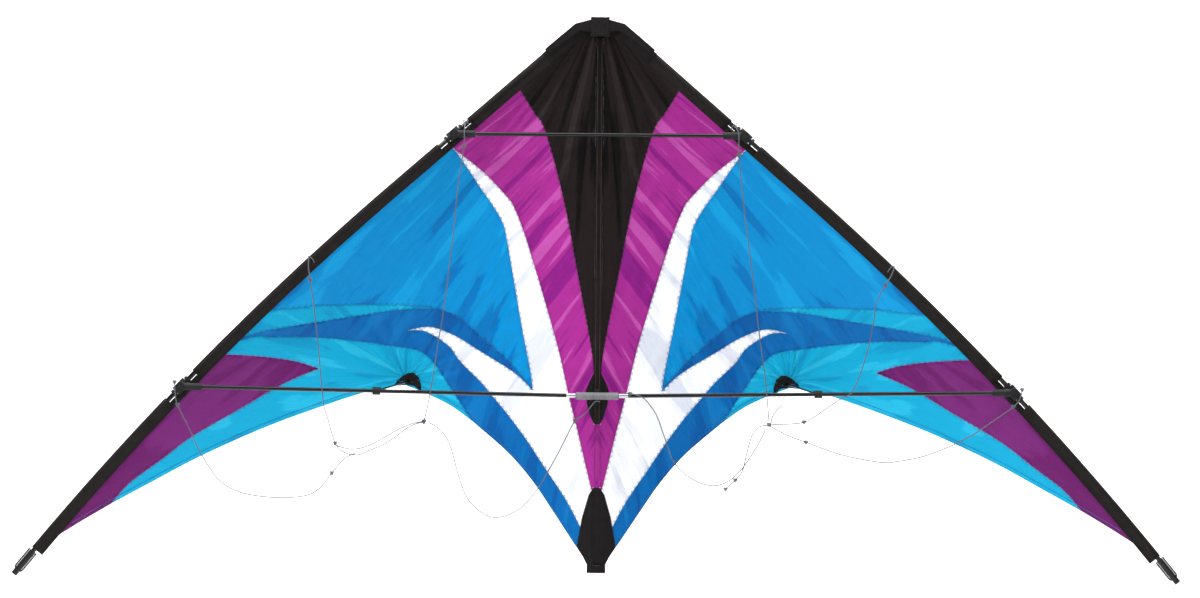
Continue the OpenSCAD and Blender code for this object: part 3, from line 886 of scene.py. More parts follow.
@dataclass
class Artwork:
    """Seams of one wing's panels, as x and depth in metres."""

    plan: Plan
    steps: int = 6

    def __post_init__(self) -> None:
        """Works out every seam once."""
        s = lambda points: self.plan.seam(points, self.steps)
        self.black = s(
            [(180, 26), (122, 115), (102, 147), (83, 178), (54, 283), (31, 400), (12, 498), (5, 546)]
        )
        self.magenta = s(
            [
                (268, 164), (228, 202), (197, 226), (172, 247), (141, 280), (131, 295), (114, 338), (87, 424),
                (61, 513), (46, 577), (30, 640), (12, 714), (5, 742),
            ]
        )
        self.blue = s(
            [
                (268, 164), (228, 202), (204, 234), (182, 267), (164, 292), (149, 318), (143, 340),
                (126, 434),
                (115, 494), (104, 548), (100, 578),
            ]
        )
        self.wedge = s([(100, 578), (120, 552), (146, 526), (182, 495), (218, 465), (250, 452)])
        self.shoulder = s(
            [(250, 452), (300, 447), (345, 447), (401, 448), (447, 451), (537, 462), (600, 472)]
        )
        self.swath_top = s(
            [(250, 452), (311, 455), (356, 462), (424, 473), (481, 483), (537, 495), (640, 525)]
        )
        self.swath_low = s(
            [
                (640, 535), (537, 500), (503, 498), (447, 498), (379, 503), (322, 511), (282, 517),
                (259, 532),
                (236, 564), (202, 616), (196, 626),
            ]
        )
        self.crescent_top = s([(100, 578), (129, 551), (183, 518), (223, 494), (261, 481), (296, 487)])
        self.crescent_low = s(
            [
                (296, 487), (268, 488), (232, 510), (214, 534), (183, 564), (164, 586), (133, 623),
                (107, 658),
                (76, 704), (53, 737), (38, 762), (22, 792), (5, 816),
            ]
        )
        self.purple = s([(660, 522), (579, 525), (517, 529), (468, 536), (433, 547)])
        self.purple_low = s(
            [(433, 547), (488, 571), (559, 613), (625, 652), (676, 691), (721, 725), (750, 758)]
        )
        self.tail_edge = s(
            [(5, 846), (30, 819), (46, 796), (69, 762), (99, 719), (137, 676), (185, 635), (196, 626)]
        )
        self.standoff_edge = s([(196, 626), (229, 603), (264, 586), (299, 572)])
        self.wing_edge = s(
            [(299, 572), (345, 579), (414, 601), (513, 638), (612, 683), (690, 725), (750, 758)]
        )
        self.tip_edge = s([(750, 758), (800, 788), (845, 818), (880, 850)])

    def panels(self) -> dict[str, tuple[str, dict[str, list[Point2]]]]:
        """Outlines of the panels.

        Returns:
            For each CAD node's name, its finish and the outline of each of its cloths.
        """
        at = self.plan.place
        r = lambda points: list(reversed(points))
        corner = [at((0, 0)), at((180, 0))]
        turn, shared = 6 * self.steps, self.steps
        return {
            "black_panel": ("black_cloth", {"": corner + self.black}),
            "magenta_panel": ("magenta_cloth", {"": self.black + r(self.magenta)}),
            "white_panel": (
                "white_cloth",
                {
                    "": self.magenta[shared:] + r(self.crescent_low) + r(self.crescent_top)
                    + r(self.blue[shared + 1 :])
                },
            ),
            "blue_panel": (
                "blue_cloth",
                {"": self.blue + self.wedge + self.shoulder + [at((640, 472)), at((640, 164))]},
            ),
            "dark_blue_panel": (
                "dark_blue_cloth",
                {
                    "_wedge": self.wedge + r(self.crescent_top),
                    "_swath": self.swath_top + self.swath_low[: turn + 1] + [at((296, 487))],
                    "_crescent": self.crescent_low + self.tail_edge + r(self.swath_low[turn:]),
                },
            ),
            "cyan_panels": (
                "cyan_cloth",
                {
                    "_shoulder": self.shoulder + [at((640, 500))] + r(self.swath_top),
                    "_skirt": self.swath_low + self.standoff_edge + self.wing_edge + r(
                        self.purple_low
                    ) + r(self.purple),
                },
            ),
            "purple_panel": (
                "purple_cloth",
                {"": self.purple + self.purple_low + self.tip_edge + [at((960, 850)), at((960, 522))]},
            ),
        }

    def stitched(self) -> list[tuple[str, list[Point2]]]:
        """Sewn lines and the thread of each."""
        return [
            ("dark_thread", self.black),
            ("pink_thread", self.magenta),
            ("blue_thread", self.blue),
            ("blue_thread", self.wedge),
            ("blue_thread", self.shoulder),
            ("blue_thread", self.swath_top),
            ("blue_thread", self.swath_low),
            ("blue_thread", self.crescent_top),
            ("blue_thread", self.crescent_low),
            ("pink_thread", self.purple),
            ("pink_thread", self.purple_low),
        ]


@dataclass
class Sail:
    """The cloth of one wing: its panels, patches and stitching."""

    plan: Plan
    art: Artwork
    finishes: Finishes
    side: Side
    cell: float = 0.0055
    cloth: float = 0.0005
    under_sleeve: float = 0.003
    edge_cuts: int = 26
    front_of_patch: float = 0.0014

    def trimmed(self, outline: Sequence[Point2], cell: float) -> bmesh.types.BMesh:
        """A flat sheet inside an outline, cut off under the sleeve and at the fold line.

        Args:
            outline: Corners of the sheet, as x and depth.
            cell: Size of the squares that it is divided into.

        Returns:
            The sheet as a mesh in the XZ plane.
        """
        work = bmesh.new()
        clean: list[Point2] = []
        for p in outline:
            if not clean or math.dist(p, clean[-1]) > 1e-5:
                clean.append(p)
        if math.dist(clean[0], clean[-1]) < 1e-5:
            clean.pop()
        work.faces.new([work.verts.new((x, 0, -d)) for x, d in clean]).normal_update()
        bmesh.ops.triangulate(work, faces=work.faces[:])
        inset = self.plan.sleeve_w - self.under_sleeve
        for i in range(self.edge_cuts + 1):
            s = self.plan.run[2] * i / self.edge_cuts
            at = self.plan.edge_point(s, -inset)
            a = self.plan.slope(s)
            self.cut(work, at, (math.sin(a), 0, math.cos(a)), True)
        self.cut(work, (self.plan.hinge_x, 0, 0), (-1, 0, 0), True)
        low = [min(v.co[k] for v in work.verts) for k in (0, 2)]
        high = [max(v.co[k] for v in work.verts) for k in (0, 2)]
        for k, normal in ((0, (1, 0, 0)), (1, (0, 0, 1))):
            first, last = math.ceil(low[k] / cell), math.floor(high[k] / cell)
            for i in range(first, last + 1):
                place = (i * cell, 0, 0) if k == 0 else (0, 0, i * cell)
                self.cut(work, place, normal, False)
        bmesh.ops.remove_doubles(work, verts=work.verts[:], dist=1e-6)
        return work

    @staticmethod
    def cut(work: bmesh.types.BMesh, place: Point3, normal: Point3, clear: bool) -> None:
        """Cuts a mesh by a plane, and clears what lies past it if asked.

        Args:
            work: The mesh.
            place: A point on the plane.
            normal: The plane's normal.
            clear: Whether what lies past it goes.
        """
        geometry = work.verts[:] + work.edges[:] + work.faces[:]
        bmesh.ops.bisect_plane(work, geom=geometry, plane_co=place, plane_no=normal, clear_outer=clear)

    def sheet_piece(
        self, name: str, outlines: Sequence[Sequence[Point2]], lift: float, cell: float
    ) -> tuple[bpy.types.Object, float]:
        """One piece of cloth shaped to the sail.

        Args:
            name: The piece's name.
            outlines: Outlines of its parts, as x and depth.
            lift: Distance in front of the sail.
            cell: Size of its squares.

        Returns:
            The piece and its flat area in square metres.
        """
        verts: list[Point3] = []
        faces: list[list[int]] = []
        area = 0.0
        for outline in outlines:
            work = self.trimmed(outline, cell)
            area += sum(f.calc_area() for f in work.faces)
            base = len(verts)
            work.verts.index_update()
            for v in work.verts:
                verts.append(self.plan.on_sail(v.co.x, -v.co.z, lift))
            faces += [[base + v.index for v in f.verts] for f in work.faces]
            work.free()
        obj = mesh_from(name, mirror_x(verts, self.side), faces)
        self.face_front(obj)
        apply_modifier(obj, "SOLIDIFY", thickness=self.cloth, offset=-1.0)
        shade_smooth(obj)
        return obj, area

    @staticmethod
    def face_front(obj: bpy.types.Object) -> None:
        """Turns an open sheet's faces to the bridle side.

        Args:
            obj: The sheet.
        """
        work = bmesh.new()
        work.from_mesh(obj.data)
        if sum(f.normal.y * f.calc_area() for f in work.faces) > 0:
            bmesh.ops.reverse_faces(work, faces=work.faces[:])
        work.to_mesh(obj.data)
        work.free()

    def build_panels(self) -> None:
        """Makes every panel of the wing."""
        for node, (finish, cloths) in self.art.panels().items():
            name = f"{self.side.label}_{node}"
            for suffix, outline in cloths.items():
                obj, area = self.sheet_piece(f"{name}{suffix}_cloth", [outline], 0.0, self.cell)
                clothe(obj, self.finishes.get(finish))
                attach(obj, self.side.body)
                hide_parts(name)

    def build_patches(self) -> None:
        """Makes the reinforcing patches."""
        at = self.plan.place
        outlines = {
            "cross_patch": [(4, 163), (13, 182), (4, 212)],
            "keel_patch": [(4, 546), (12, 562), (18, 577), (16, 597), (10, 618), (4, 629)],
            "tail_patch": [
                (4, 725), (12, 737), (22, 772), (28, 805), (30, 819), (20, 834), (14, 846), (4, 848)
            ],
            "standoff_patch": [
                (274, 581), (275, 570), (278, 560), (286, 553), (294, 553), (302, 557), (312, 565),
                (317, 574),
                (308, 573), (298, 571), (287, 573),
            ],
        }
        for name, points in outlines.items():
            outline = [at(p) for p in points]
            obj, _ = self.sheet_piece(f"{self.side.label}_{name}", [outline], self.front_of_patch, 0.004)
            clothe(obj, self.finishes.get("patch_cloth"))
            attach(obj, self.side.body)
        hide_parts(f"{self.side.label}_patches")

    def build_stitching(self) -> None:
        """Sews a zigzag along every seam and a straight line inside the trailing edge."""
        rows: dict[str, list[list[Point2]]] = {}
        for thread, line in self.art.stitched():
            rows.setdefault(thread, []).append(self.zigzag(line, 0.0042, 0.0088))
        trailing = self.art.tail_edge[
            2:
        ] + self.art.standoff_edge[1:] + self.art.wing_edge[1:] + self.art.tip_edge[1:]
        rows.setdefault("blue_thread", []).append([(x, d - 0.0065) for x, d in trailing])
        for thread, lines in rows.items():
            obj = self.threads(f"{self.side.label}_{thread}", lines)
            clothe(obj, self.finishes.get(thread))
            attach(obj, self.side.body)
            log.info("%s: %d faces", obj.name, len(obj.data.polygons))

    @staticmethod
    def zigzag(line: Sequence[Point2], width: float, pitch: float) -> list[Point2]:
        """A zigzag of a given width along a line.

        Args:
            line: The line that it follows.
            width: Its width.
            pitch: Length of one zig and zag.

        Returns:
            The zigzag's points.
        """
        p = np.array(line)
        steps = np.linalg.norm(np.diff(p, axis=0), axis=1)
        run = np.concatenate([[0], np.cumsum(steps)])
        keep = np.concatenate([[True], np.diff(run) > 0])
        run, p = run[keep], p[keep]
        marks = np.arange(0, run[-1], pitch / 2)
        out = []
        for i, m in enumerate(marks):
            x, d = np.interp(m, run, p[:, 0]), np.interp(m, run, p[:, 1])
            x2, d2 = np.interp(m + 1e-4, run, p[:, 0]), np.interp(m + 1e-4, run, p[:, 1])
            way = Vector((x2 - x, d2 - d))
            if way.length < 1e-9:
                continue
            way.normalize()
            swing = width / 2 * (1 if i % 2 else -1)
            out.append((x - way.y * swing, d + way.x * swing))
        return out

    def threads(self, name: str, lines: Sequence[Sequence[Point2]]) -> bpy.types.Object:
        """Thin raised threads along lines on the sail.

        Args:
            name: The piece's name.
            lines: Lines as x and depth.

        Returns:
            The threads as one mesh of small prisms.
        """
        half, lift = 0.00035, 0.00045
        verts: list[Point3] = []
        faces: list[tuple[int, ...]] = []
        inset = self.plan.sleeve_w
        for line in lines:
            for a, b in zip(line, line[1:]):
                inside = all(self.plan.hinge_x < x < self.plan.edge_x(d, inset) for x, d in (a, b))
                way = Vector((b[0] - a[0], b[1] - a[1]))
                if not inside or way.length < 1e-6:
                    continue
                way = way.normalized() * half
                base = len(verts)
                for x, d in (a, b):
                    for sx, rise in ((-1, 0.0), (0, lift), (1, 0.0)):
                        px, pd = x - way.y * sx, d + way.x * sx
                        verts.append(self.plan.on_sail(px, pd, rise + 0.0001))
                k = base
                faces += [
                    (k, k + 1, k + 4, k + 3), (k + 1, k + 2, k + 5, k + 4), (k + 2, k, k + 3, k + 5),
                    (k, k + 2, k + 1), (k + 3, k + 4, k + 5),
                ]
        return mesh_from(name, mirror_x(verts, self.side), faces)

    def build(self) -> None:
        """Makes the wing's cloth."""
        self.build_panels()
        self.build_patches()
        self.build_stitching()


# ---------------------------------------------------------------- sleeves and nose


@dataclass
class Sleeve:
    """The cloth sleeve of one leading edge, and the webbing over its nose end."""

    plan: Plan
    finishes: Finishes
    side: Side
    rod_d: float = 0.0075
    window: float = 0.030
    cover_len: float = 0.068
    nock_seat: float = 0.006
    around: int = 18
    step: float = 0.008

    def section(self, radius: float) -> list[Point2]:
        """Outline round the rod and along the hem, as distances outwards and back.

        Args:
            radius: Radius of the cloth round the rod.

        Returns:
            The outline.
        """
        turns = [math.radians(150 - 300 * i / (self.around - 1)) for i in range(self.around)]
        ring = [(radius * math.cos(a), radius * math.sin(a)) for a in turns]
        thick = 0.0009
        inner = -self.plan.sleeve_w
        mid = (inner - radius) / 2
        back = [(inner, thick), (inner + 0.002, thick * 1.1), (mid, thick * 1.6)]
        front = [(mid, -thick * 1.6), (inner + 0.002, -thick * 1.1), (inner, -thick)]
        return back + ring + front

    def swept(
        self, name: str, s0: float, s1: float, outline: Sequence[Point2], rough: float
    ) -> bpy.types.Object:
        """A sheath that follows the leading edge.

        Args:
            name: The piece's name.
            s0: Where it starts, from the rod's nose end.
            s1: Where it ends.
            outline: Its closed section.
            rough: Height of its small wrinkles.

        Returns:
            The sheath, with its ends closed.
        """
        rings = max(3, int((s1 - s0) / self.step) + 1)
        n = len(outline)
        verts = []
        for i in range(rings):
            s = s0 + (s1 - s0) * i / (rings - 1)
            for out, back in outline:
                wrinkle = noise.noise(Vector((s * 95, out * 260, back * 260))) * rough
                pucker = math.sin(s * 310) * rough * 0.3
                away = math.hypot(out, back)
                grow = 1 + (wrinkle + pucker) / max(away, 0.004)
                verts.append(self.plan.edge_point(s, out * grow if out > 0 else out, back * grow))
        faces = [
            (i * n + k, i * n + (k + 1) % n, (i + 1) * n + (k + 1) % n, (i + 1) * n + k)
            for i in range(rings - 1)
            for k in range(n)
        ]
        faces.append(tuple(range(n)))
        faces.append(tuple((rings - 1) * n + k for k in reversed(range(n))))
        return mesh_from(name, mirror_x(verts, self.side), faces)

    def strip(
        self, name: str, s0: float, s1: float, out0: float, out1: float, half_t: float
    ) -> bpy.types.Object:
        """A flat strip beside the rod between two distances outwards.

        Args:
            name: The piece's name.
            s0: Start along the rod.
            s1: End along the rod.
            out0: Inner distance outwards.
            out1: Outer distance outwards.
            half_t: Half of its thickness.

        Returns:
            The strip.
        """
        outline = [(out0, -half_t), (out1, -half_t), (out1, half_t), (out0, half_t)]
        return self.swept(name, s0, s1, outline, 0.0)

    def build(self) -> None:
        """Makes the sleeve in its runs between the connectors, joined by its hem."""
        plan, label = self.plan, self.side.label
        end = plan.run[2] - self.nock_seat - 0.004
        marks = [plan.edge_at(plan.upper_level), plan.edge_at(plan.lower_level - plan.lower_rise)]
        radius = self.rod_d / 2 + 0.0012
        starts = [self.cover_len - 0.006] + [m + self.window for m in marks]
        ends = [m - self.window for m in marks] + [end]
        outline = self.section(radius)
        parts = [
            self.swept(f"{label}_sleeve_run_{i + 1}", a, b, outline, 0.00035)
            for i, (a, b) in enumerate(zip(starts, ends))
        ]
        parts += [
            self.strip(
                f"{label}_sleeve_hem_{i + 1}", m - self.window - 0.002, m + self.window + 0.002, -0.015,
                -0.0046, 0.0009,
            )
            for i, m in enumerate(marks)
        ]
        make_active(parts[0])
        for part in parts:
            part.select_set(True)
        bpy.ops.object.join()
        sleeve = bpy.context.view_layer.objects.active
        sleeve.name = f"{label}_edge_sleeve_cloth"
        clothe(sleeve, self.finishes.get("sleeve_cloth"))
        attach(sleeve, self.side.body)
        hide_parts(f"{label}_edge_sleeve")
        self.build_piping(starts, ends)
        self.build_nose_cover()

    def build_piping(self, starts: Sequence[float], ends: Sequence[float]) -> None:
        """Sews a line beside the rod and raises a thin piping on the outer edge.

        Args:
            starts: Where the sleeve's runs start.
            ends: Where they end.
        """
        label = self.side.label
        lines = []
        for i, (a, b) in enumerate(zip(starts, ends)):
            lines.append(self.strip(f"{label}_sleeve_seam_{i + 1}", a, b, -0.0072, -0.0064, 0.00205))
            tip = self.rod_d / 2 + 0.0012
            lines.append(
                self.strip(f"{label}_sleeve_piping_{i + 1}", a, b, tip - 0.0002, tip + 0.0005, 0.0006)
            )
        make_active(lines[0])
        for line in lines:
            line.select_set(True)
        bpy.ops.object.join()
        obj = bpy.context.view_layer.objects.active
        obj.name = f"{label}_sleeve_stitching"
        clothe(obj, self.finishes.get("dark_thread"))
        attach(obj, self.side.body)

    def build_nose_cover(self) -> None:
        """Makes the thicker webbing over the nose end of the leading edge."""
        label = self.side.label
        outline = self.section(self.rod_d / 2 + 0.0022)
        cover = self.swept(f"{label}_nose_cover_webbing", -0.004, self.cover_len, outline, 0.0002)
        clothe(cover, self.finishes.get("webbing"))
        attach(cover, self.side.body)
        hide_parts(f"{label}_nose_cover")


@dataclass
class Nose:
    """The folded webbing that closes the nose."""

    plan: Plan
    finishes: Finishes
    front: float = -0.0062
    back: float = 0.0118
    fold_front: float = -0.0092

    def plate(self, name: str, side: Side, y: float) -> bpy.types.Object:
        """Half of one layer of the nose webbing.

        Args:
            name: The piece's name.
            side: The wing that it reaches over.
            y: Where the layer lies.

        Returns:
            The layer, divided finely enough to bend.
        """
        points = [
            (0, 3), (14, 5), (38, 11.4), (60, 30), (85, 51.2), (79, 58.5), (52, 38), (30, 22), (20, 24),
            (0, 26),
        ]
        work = bmesh.new()
        work.faces.new([work.verts.new((x * MM, 0, -d * MM)) for x, d in points]).normal_update()
        bmesh.ops.triangulate(work, faces=work.faces[:])
        for i in range(1, 29):
            Sail.cut(work, (i * 0.003, 0, 0), (1, 0, 0), False)
            if i < 20:
                Sail.cut(work, (0, 0, -i * 0.003), (0, 0, 1), False)
        for v in work.verts:
            x, d = v.co.x, -v.co.z
            away = max(0.0, x - 0.020)
            wave = noise.noise(Vector((x * 90, d * 90, y * 300))) * 0.0004
            v.co.y = y * (1 - 0.06 * min(1.0, away / 0.05)) + wave
        mesh = bpy.data.meshes.new(name)
        for v in work.verts:
            v.co.x *= side.value
        work.to_mesh(mesh)
        work.free()
        obj = new_object(name, mesh)
        recalculate(obj)
        if y < 0:
            Sail.face_front(obj)
        apply_modifier(obj, "SOLIDIFY", thickness=0.0014, offset=0.0)
        shade_smooth(obj)
        clothe(obj, self.finishes.get("webbing"))
        return obj

    def build(self) -> None:
        """Makes both layers on both wings, and the fold over the top."""
        for side in Side:
            for layer, y in (("front", self.front), ("back", self.back)):
                obj = self.plate(f"{side.label}_nose_{layer}", side, y)
                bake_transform(obj)
        self.build_fold()
        self.build_stitches()

    def build_fold(self) -> None:
        """Makes the webbing that goes over the top of the nose and down behind the spine."""
        low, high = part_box("nose_cap")
        bpy.ops.object.select_all(action="DESELECT")
        bpy.ops.mesh.primitive_cube_add(size=1.0)
        obj = bpy.context.view_layer.objects.active
        obj.name = "nose_fold"
        height = 0.030
        obj.dimensions = (0.0295, self.back - self.fold_front, height)
        obj.location = (0, (self.fold_front + self.back) / 2, -height / 2 - 0.0012)
        settle(obj)
        make_active(obj)
        bpy.ops.object.mode_set(mode="EDIT")
        bpy.ops.mesh.select_all(action="SELECT")
        bpy.ops.mesh.subdivide(number_cuts=15)
        bpy.ops.object.mode_set(mode="OBJECT")
        apply_modifier(obj, "BEVEL", width=0.0016, segments=3, limit_method="ANGLE")
        for v in obj.data.vertices:
            ripple = noise.noise(Vector((v.co.x * 170, v.co.y * 90, v.co.z * 130)))
            pinch = 1 - 0.07 * math.sin(math.pi * min(1.0, -v.co.z / height))
            v.co.x = v.co.x * pinch + 0.0006 * ripple
            v.co.y += 0.0004 * ripple
            v.co.z += 0.0008 * ripple * (v.co.z > -0.004)
        self.clear_cover(obj)
        clothe(obj, self.finishes.get("webbing"))
        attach(obj, "spine")
        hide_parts("nose_cap")
        log.info("nose fold between %.1f and %.1f mm", low[2] / MM, high[2] / MM)

    @staticmethod
    def clear_cover(obj: bpy.types.Object) -> None:
        """Narrows the fold behind, so that a folded wing passes it.

        Args:
            obj: The nose fold.
        """
        for v in obj.data.vertices:
            share = min(1.0, max(0.0, (v.co.y + 0.004) / 0.012))
            v.co.x *= 1 - 0.5 * share
        obj.data.update()

    def build_stitches(self) -> None:
        """Sews a box and a cross on the front of the nose."""
        low, high, half = 0.005, 0.027, 0.011
        lines = [
            [(-half, low), (half, low)], [(half, low), (half, high)], [(half, high), (-half, high)],
            [(-half, high), (-half, low)], [(-half, low), (half, high)], [(half, low), (-half, high)],
        ]
        verts: list[Point3] = []
        faces: list[tuple[int, ...]] = []
        pitch, half_t = 0.0022, 0.00028
        for (x0, d0), (x1, d1) in lines:
            length = math.hypot(x1 - x0, d1 - d0)
            count = int(length / pitch)
            ux, ud = (x1 - x0) / length, (d1 - d0) / length
            for i in range(count):
                a = i * length / count
                b = a + 0.72 * length / count
                k = len(verts)
                for t in (a, b):
                    for side in (-1, 1):
                        for y in (self.fold_front - 0.0003, self.fold_front + 0.0003):
                            verts.append(
                                (x0 + ux * t - ud * half_t * side, y, -(d0 + ud * t + ux * half_t * side))
                            )
                faces += [
                    (k, k + 1, k + 3, k + 2), (k + 4, k + 6, k + 7, k + 5), (k, k + 4, k + 5, k + 1),
                    (k + 2, k + 3, k + 7, k + 6), (k, k + 2, k + 6, k + 4), (k + 1, k + 5, k + 7, k + 3),
                ]
        obj = mesh_from("nose_stitches", verts, faces)
        clothe(obj, self.finishes.get("dark_thread"))
        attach(obj, "spine")


@dataclass
class Centre:
    """The tape along the spine, its pocket behind, and the strap at the tail."""

    plan: Plan
    finishes: Finishes
    half_w: float = 0.0058
    step: float = 0.006

    def tape(self, name: str, d0: float, d1: float, finish: str) -> bpy.types.Object:
        """A run of the front tape between two depths, slightly crowned.

        Args:
            name: The piece's name.
            d0: Upper end.
            d1: Lower end.
            finish: The finish that it is given.

        Returns:
            The tape.
        """
        across = [-1, -0.9, -0.62, -0.5, -0.12, 0, 0.12, 0.5, 0.62, 0.9, 1]
        rise = [0, 1, 1, 0.7, 1, 1.6, 1, 0.7, 1, 1, 0]
        rings = max(3, int((d1 - d0) / self.step))
        n = len(across)
        verts = []
        for i in range(rings + 1):
            d = d0 + (d1 - d0) * i / rings
            for u, r in zip(across, rise):
                pucker = 0.00018 * math.sin(d * 900 + u * 3) + 0.0003 * noise.noise(
                    Vector((u * 2, d * 60, 1.7))
                )
                verts.append((u * self.half_w, -0.0006 - 0.0005 * r - pucker, -d))
        faces = [
            (i * n + k, i * n + k + 1, (i + 1) * n + k + 1, (i + 1) * n + k)
            for i in range(rings)
            for k in range(n - 1)
        ]
        obj = mesh_from(name, verts, faces)
        Sail.face_front(obj)
        apply_modifier(obj, "SOLIDIFY", thickness=0.0005, offset=-1.0)
        shade_smooth(obj)
        clothe(obj, self.finishes.get(finish))
        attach(obj, "spine")
        return obj

    def build(self) -> None:
        """Makes the tapes, the pocket and their stitching."""
        self.tape("centre_tape_black", 0.030, 0.628, "black_cloth")
        self.tape("centre_tape_magenta", 0.6285, 0.726, "magenta_cloth")
        self.tape("centre_tape_tail", 0.7265, 0.8455, "patch_cloth")
        self.build_pocket()
        self.build_stitch_rows()
        self.build_strap()

    def build_pocket(self) -> None:
        """Makes the pocket behind the tape, open where the saddle holds the spine."""
        low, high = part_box("spine_pocket")
        saddle_low, saddle_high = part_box("spine_saddle")
        axis_y = 0.0065
        runs = [(-high[2], -saddle_high[2] - 0.0004), (-saddle_low[2] + 0.0004, -low[2])]
        radius = 0.0047
        turns = [math.radians(-62 + 304 * i / 20) for i in range(21)]
        outline = [(radius * math.cos(a), axis_y + radius * math.sin(a)) for a in turns]
        outline = [(0.0012, 0.0003)] + outline + [(-0.0012, 0.0003)]
        verts: list[Point3] = []
        faces: list[tuple[int, ...]] = []
        n = len(outline)
        for d0, d1 in runs:
            rings = int((d1 - d0) / self.step)
            base = len(verts)
            for i in range(rings + 1):
                d = d0 + (d1 - d0) * i / rings
                for x, y in outline:
                    grow = 1 + 0.05 * noise.noise(Vector((x * 150, y * 150, d * 60)))
                    verts.append((x * grow, y, -d))
            faces += [
                (
                    base + i * n + k, base + i * n + (k + 1) % n, base + (i + 1) * n + (k + 1) % n,
                    base + (i + 1) * n + k,
                )
                for i in range(rings)
                for k in range(n)
            ]
            faces.append(tuple(base + k for k in range(n)))
            faces.append(tuple(base + rings * n + k for k in reversed(range(n))))
        obj = mesh_from("spine_pocket_cloth", verts, faces)
        clothe(obj, self.finishes.get("black_cloth"))
        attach(obj, "spine")
        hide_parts("spine_pocket")

    def build_stitch_rows(self) -> None:
        """Sews two rows of short stitches down the tape."""
        verts: list[Point3] = []
        faces: list[tuple[int, ...]] = []
        pitch, length, half_t = 0.0034, 0.0024, 0.00026
        rows = (-0.0033, 0.0033)
        count = int((0.72 - 0.034) / pitch)
        for x in rows:
            for i in range(count):
                d = 0.034 + i * pitch
                k = len(verts)
                for dd in (0, length):
                    for dx in (-half_t, half_t):
                        for y in (-0.0010, -0.0019):
                            verts.append((x + dx, y, -(d + dd)))
                faces += [
                    (k, k + 1, k + 3, k + 2), (k + 4, k + 6, k + 7, k + 5), (k, k + 4, k + 5, k + 1),
                    (k + 2, k + 3, k + 7, k + 6), (k, k + 2, k + 6, k + 4), (k + 1, k + 5, k + 7, k + 3),
                ]
        obj = mesh_from("centre_stitches", verts, faces)
        clothe(obj, self.finishes.get("grey_thread"))
        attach(obj, "spine")

    def build_strap(self) -> None:
        """Makes the webbing strap folded round the spine at the tail."""
        low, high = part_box("tail_strap")
        bpy.ops.object.select_all(action="DESELECT")
        bpy.ops.mesh.primitive_cube_add(size=1.0)
        obj = bpy.context.view_layer.objects.active
        obj.name = "tail_strap_webbing"
        obj.dimensions = [h - l for l, h in zip(low, high)]
        obj.location = [(h + l) / 2 for l, h in zip(low, high)]
        settle(obj)
        make_active(obj)
        bpy.ops.object.mode_set(mode="EDIT")
        bpy.ops.mesh.select_all(action="SELECT")
        bpy.ops.mesh.subdivide(number_cuts=7)
        bpy.ops.object.mode_set(mode="OBJECT")
        middle = (low[1] + high[1]) / 2
        for v in obj.data.vertices:
            x = abs(v.co.x) / high[0]
            v.co.y = middle + (v.co.y - middle) * (1 - 0.72 * x * x)
            v.co.z += 0.0004 * math.sin(v.co.x * 900)
        apply_modifier(obj, "BEVEL", width=0.0008, segments=2, limit_method="ANGLE")
        shade_smooth(obj)
        clothe(obj, self.finishes.get("webbing"))
        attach(obj, "spine")
        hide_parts("tail_strap")


# ---------------------------------------------------------------- bridle


@dataclass
class Line:
    """One bridle line: its route in millimetres, its knots and how it rides."""

    name: str
    side: Side
    route: Sequence[Point3]
    knots: Sequence[Point3]
    far_end: str
    centre: bool = False
    loop_at: float | None = None
    solid: bool = True


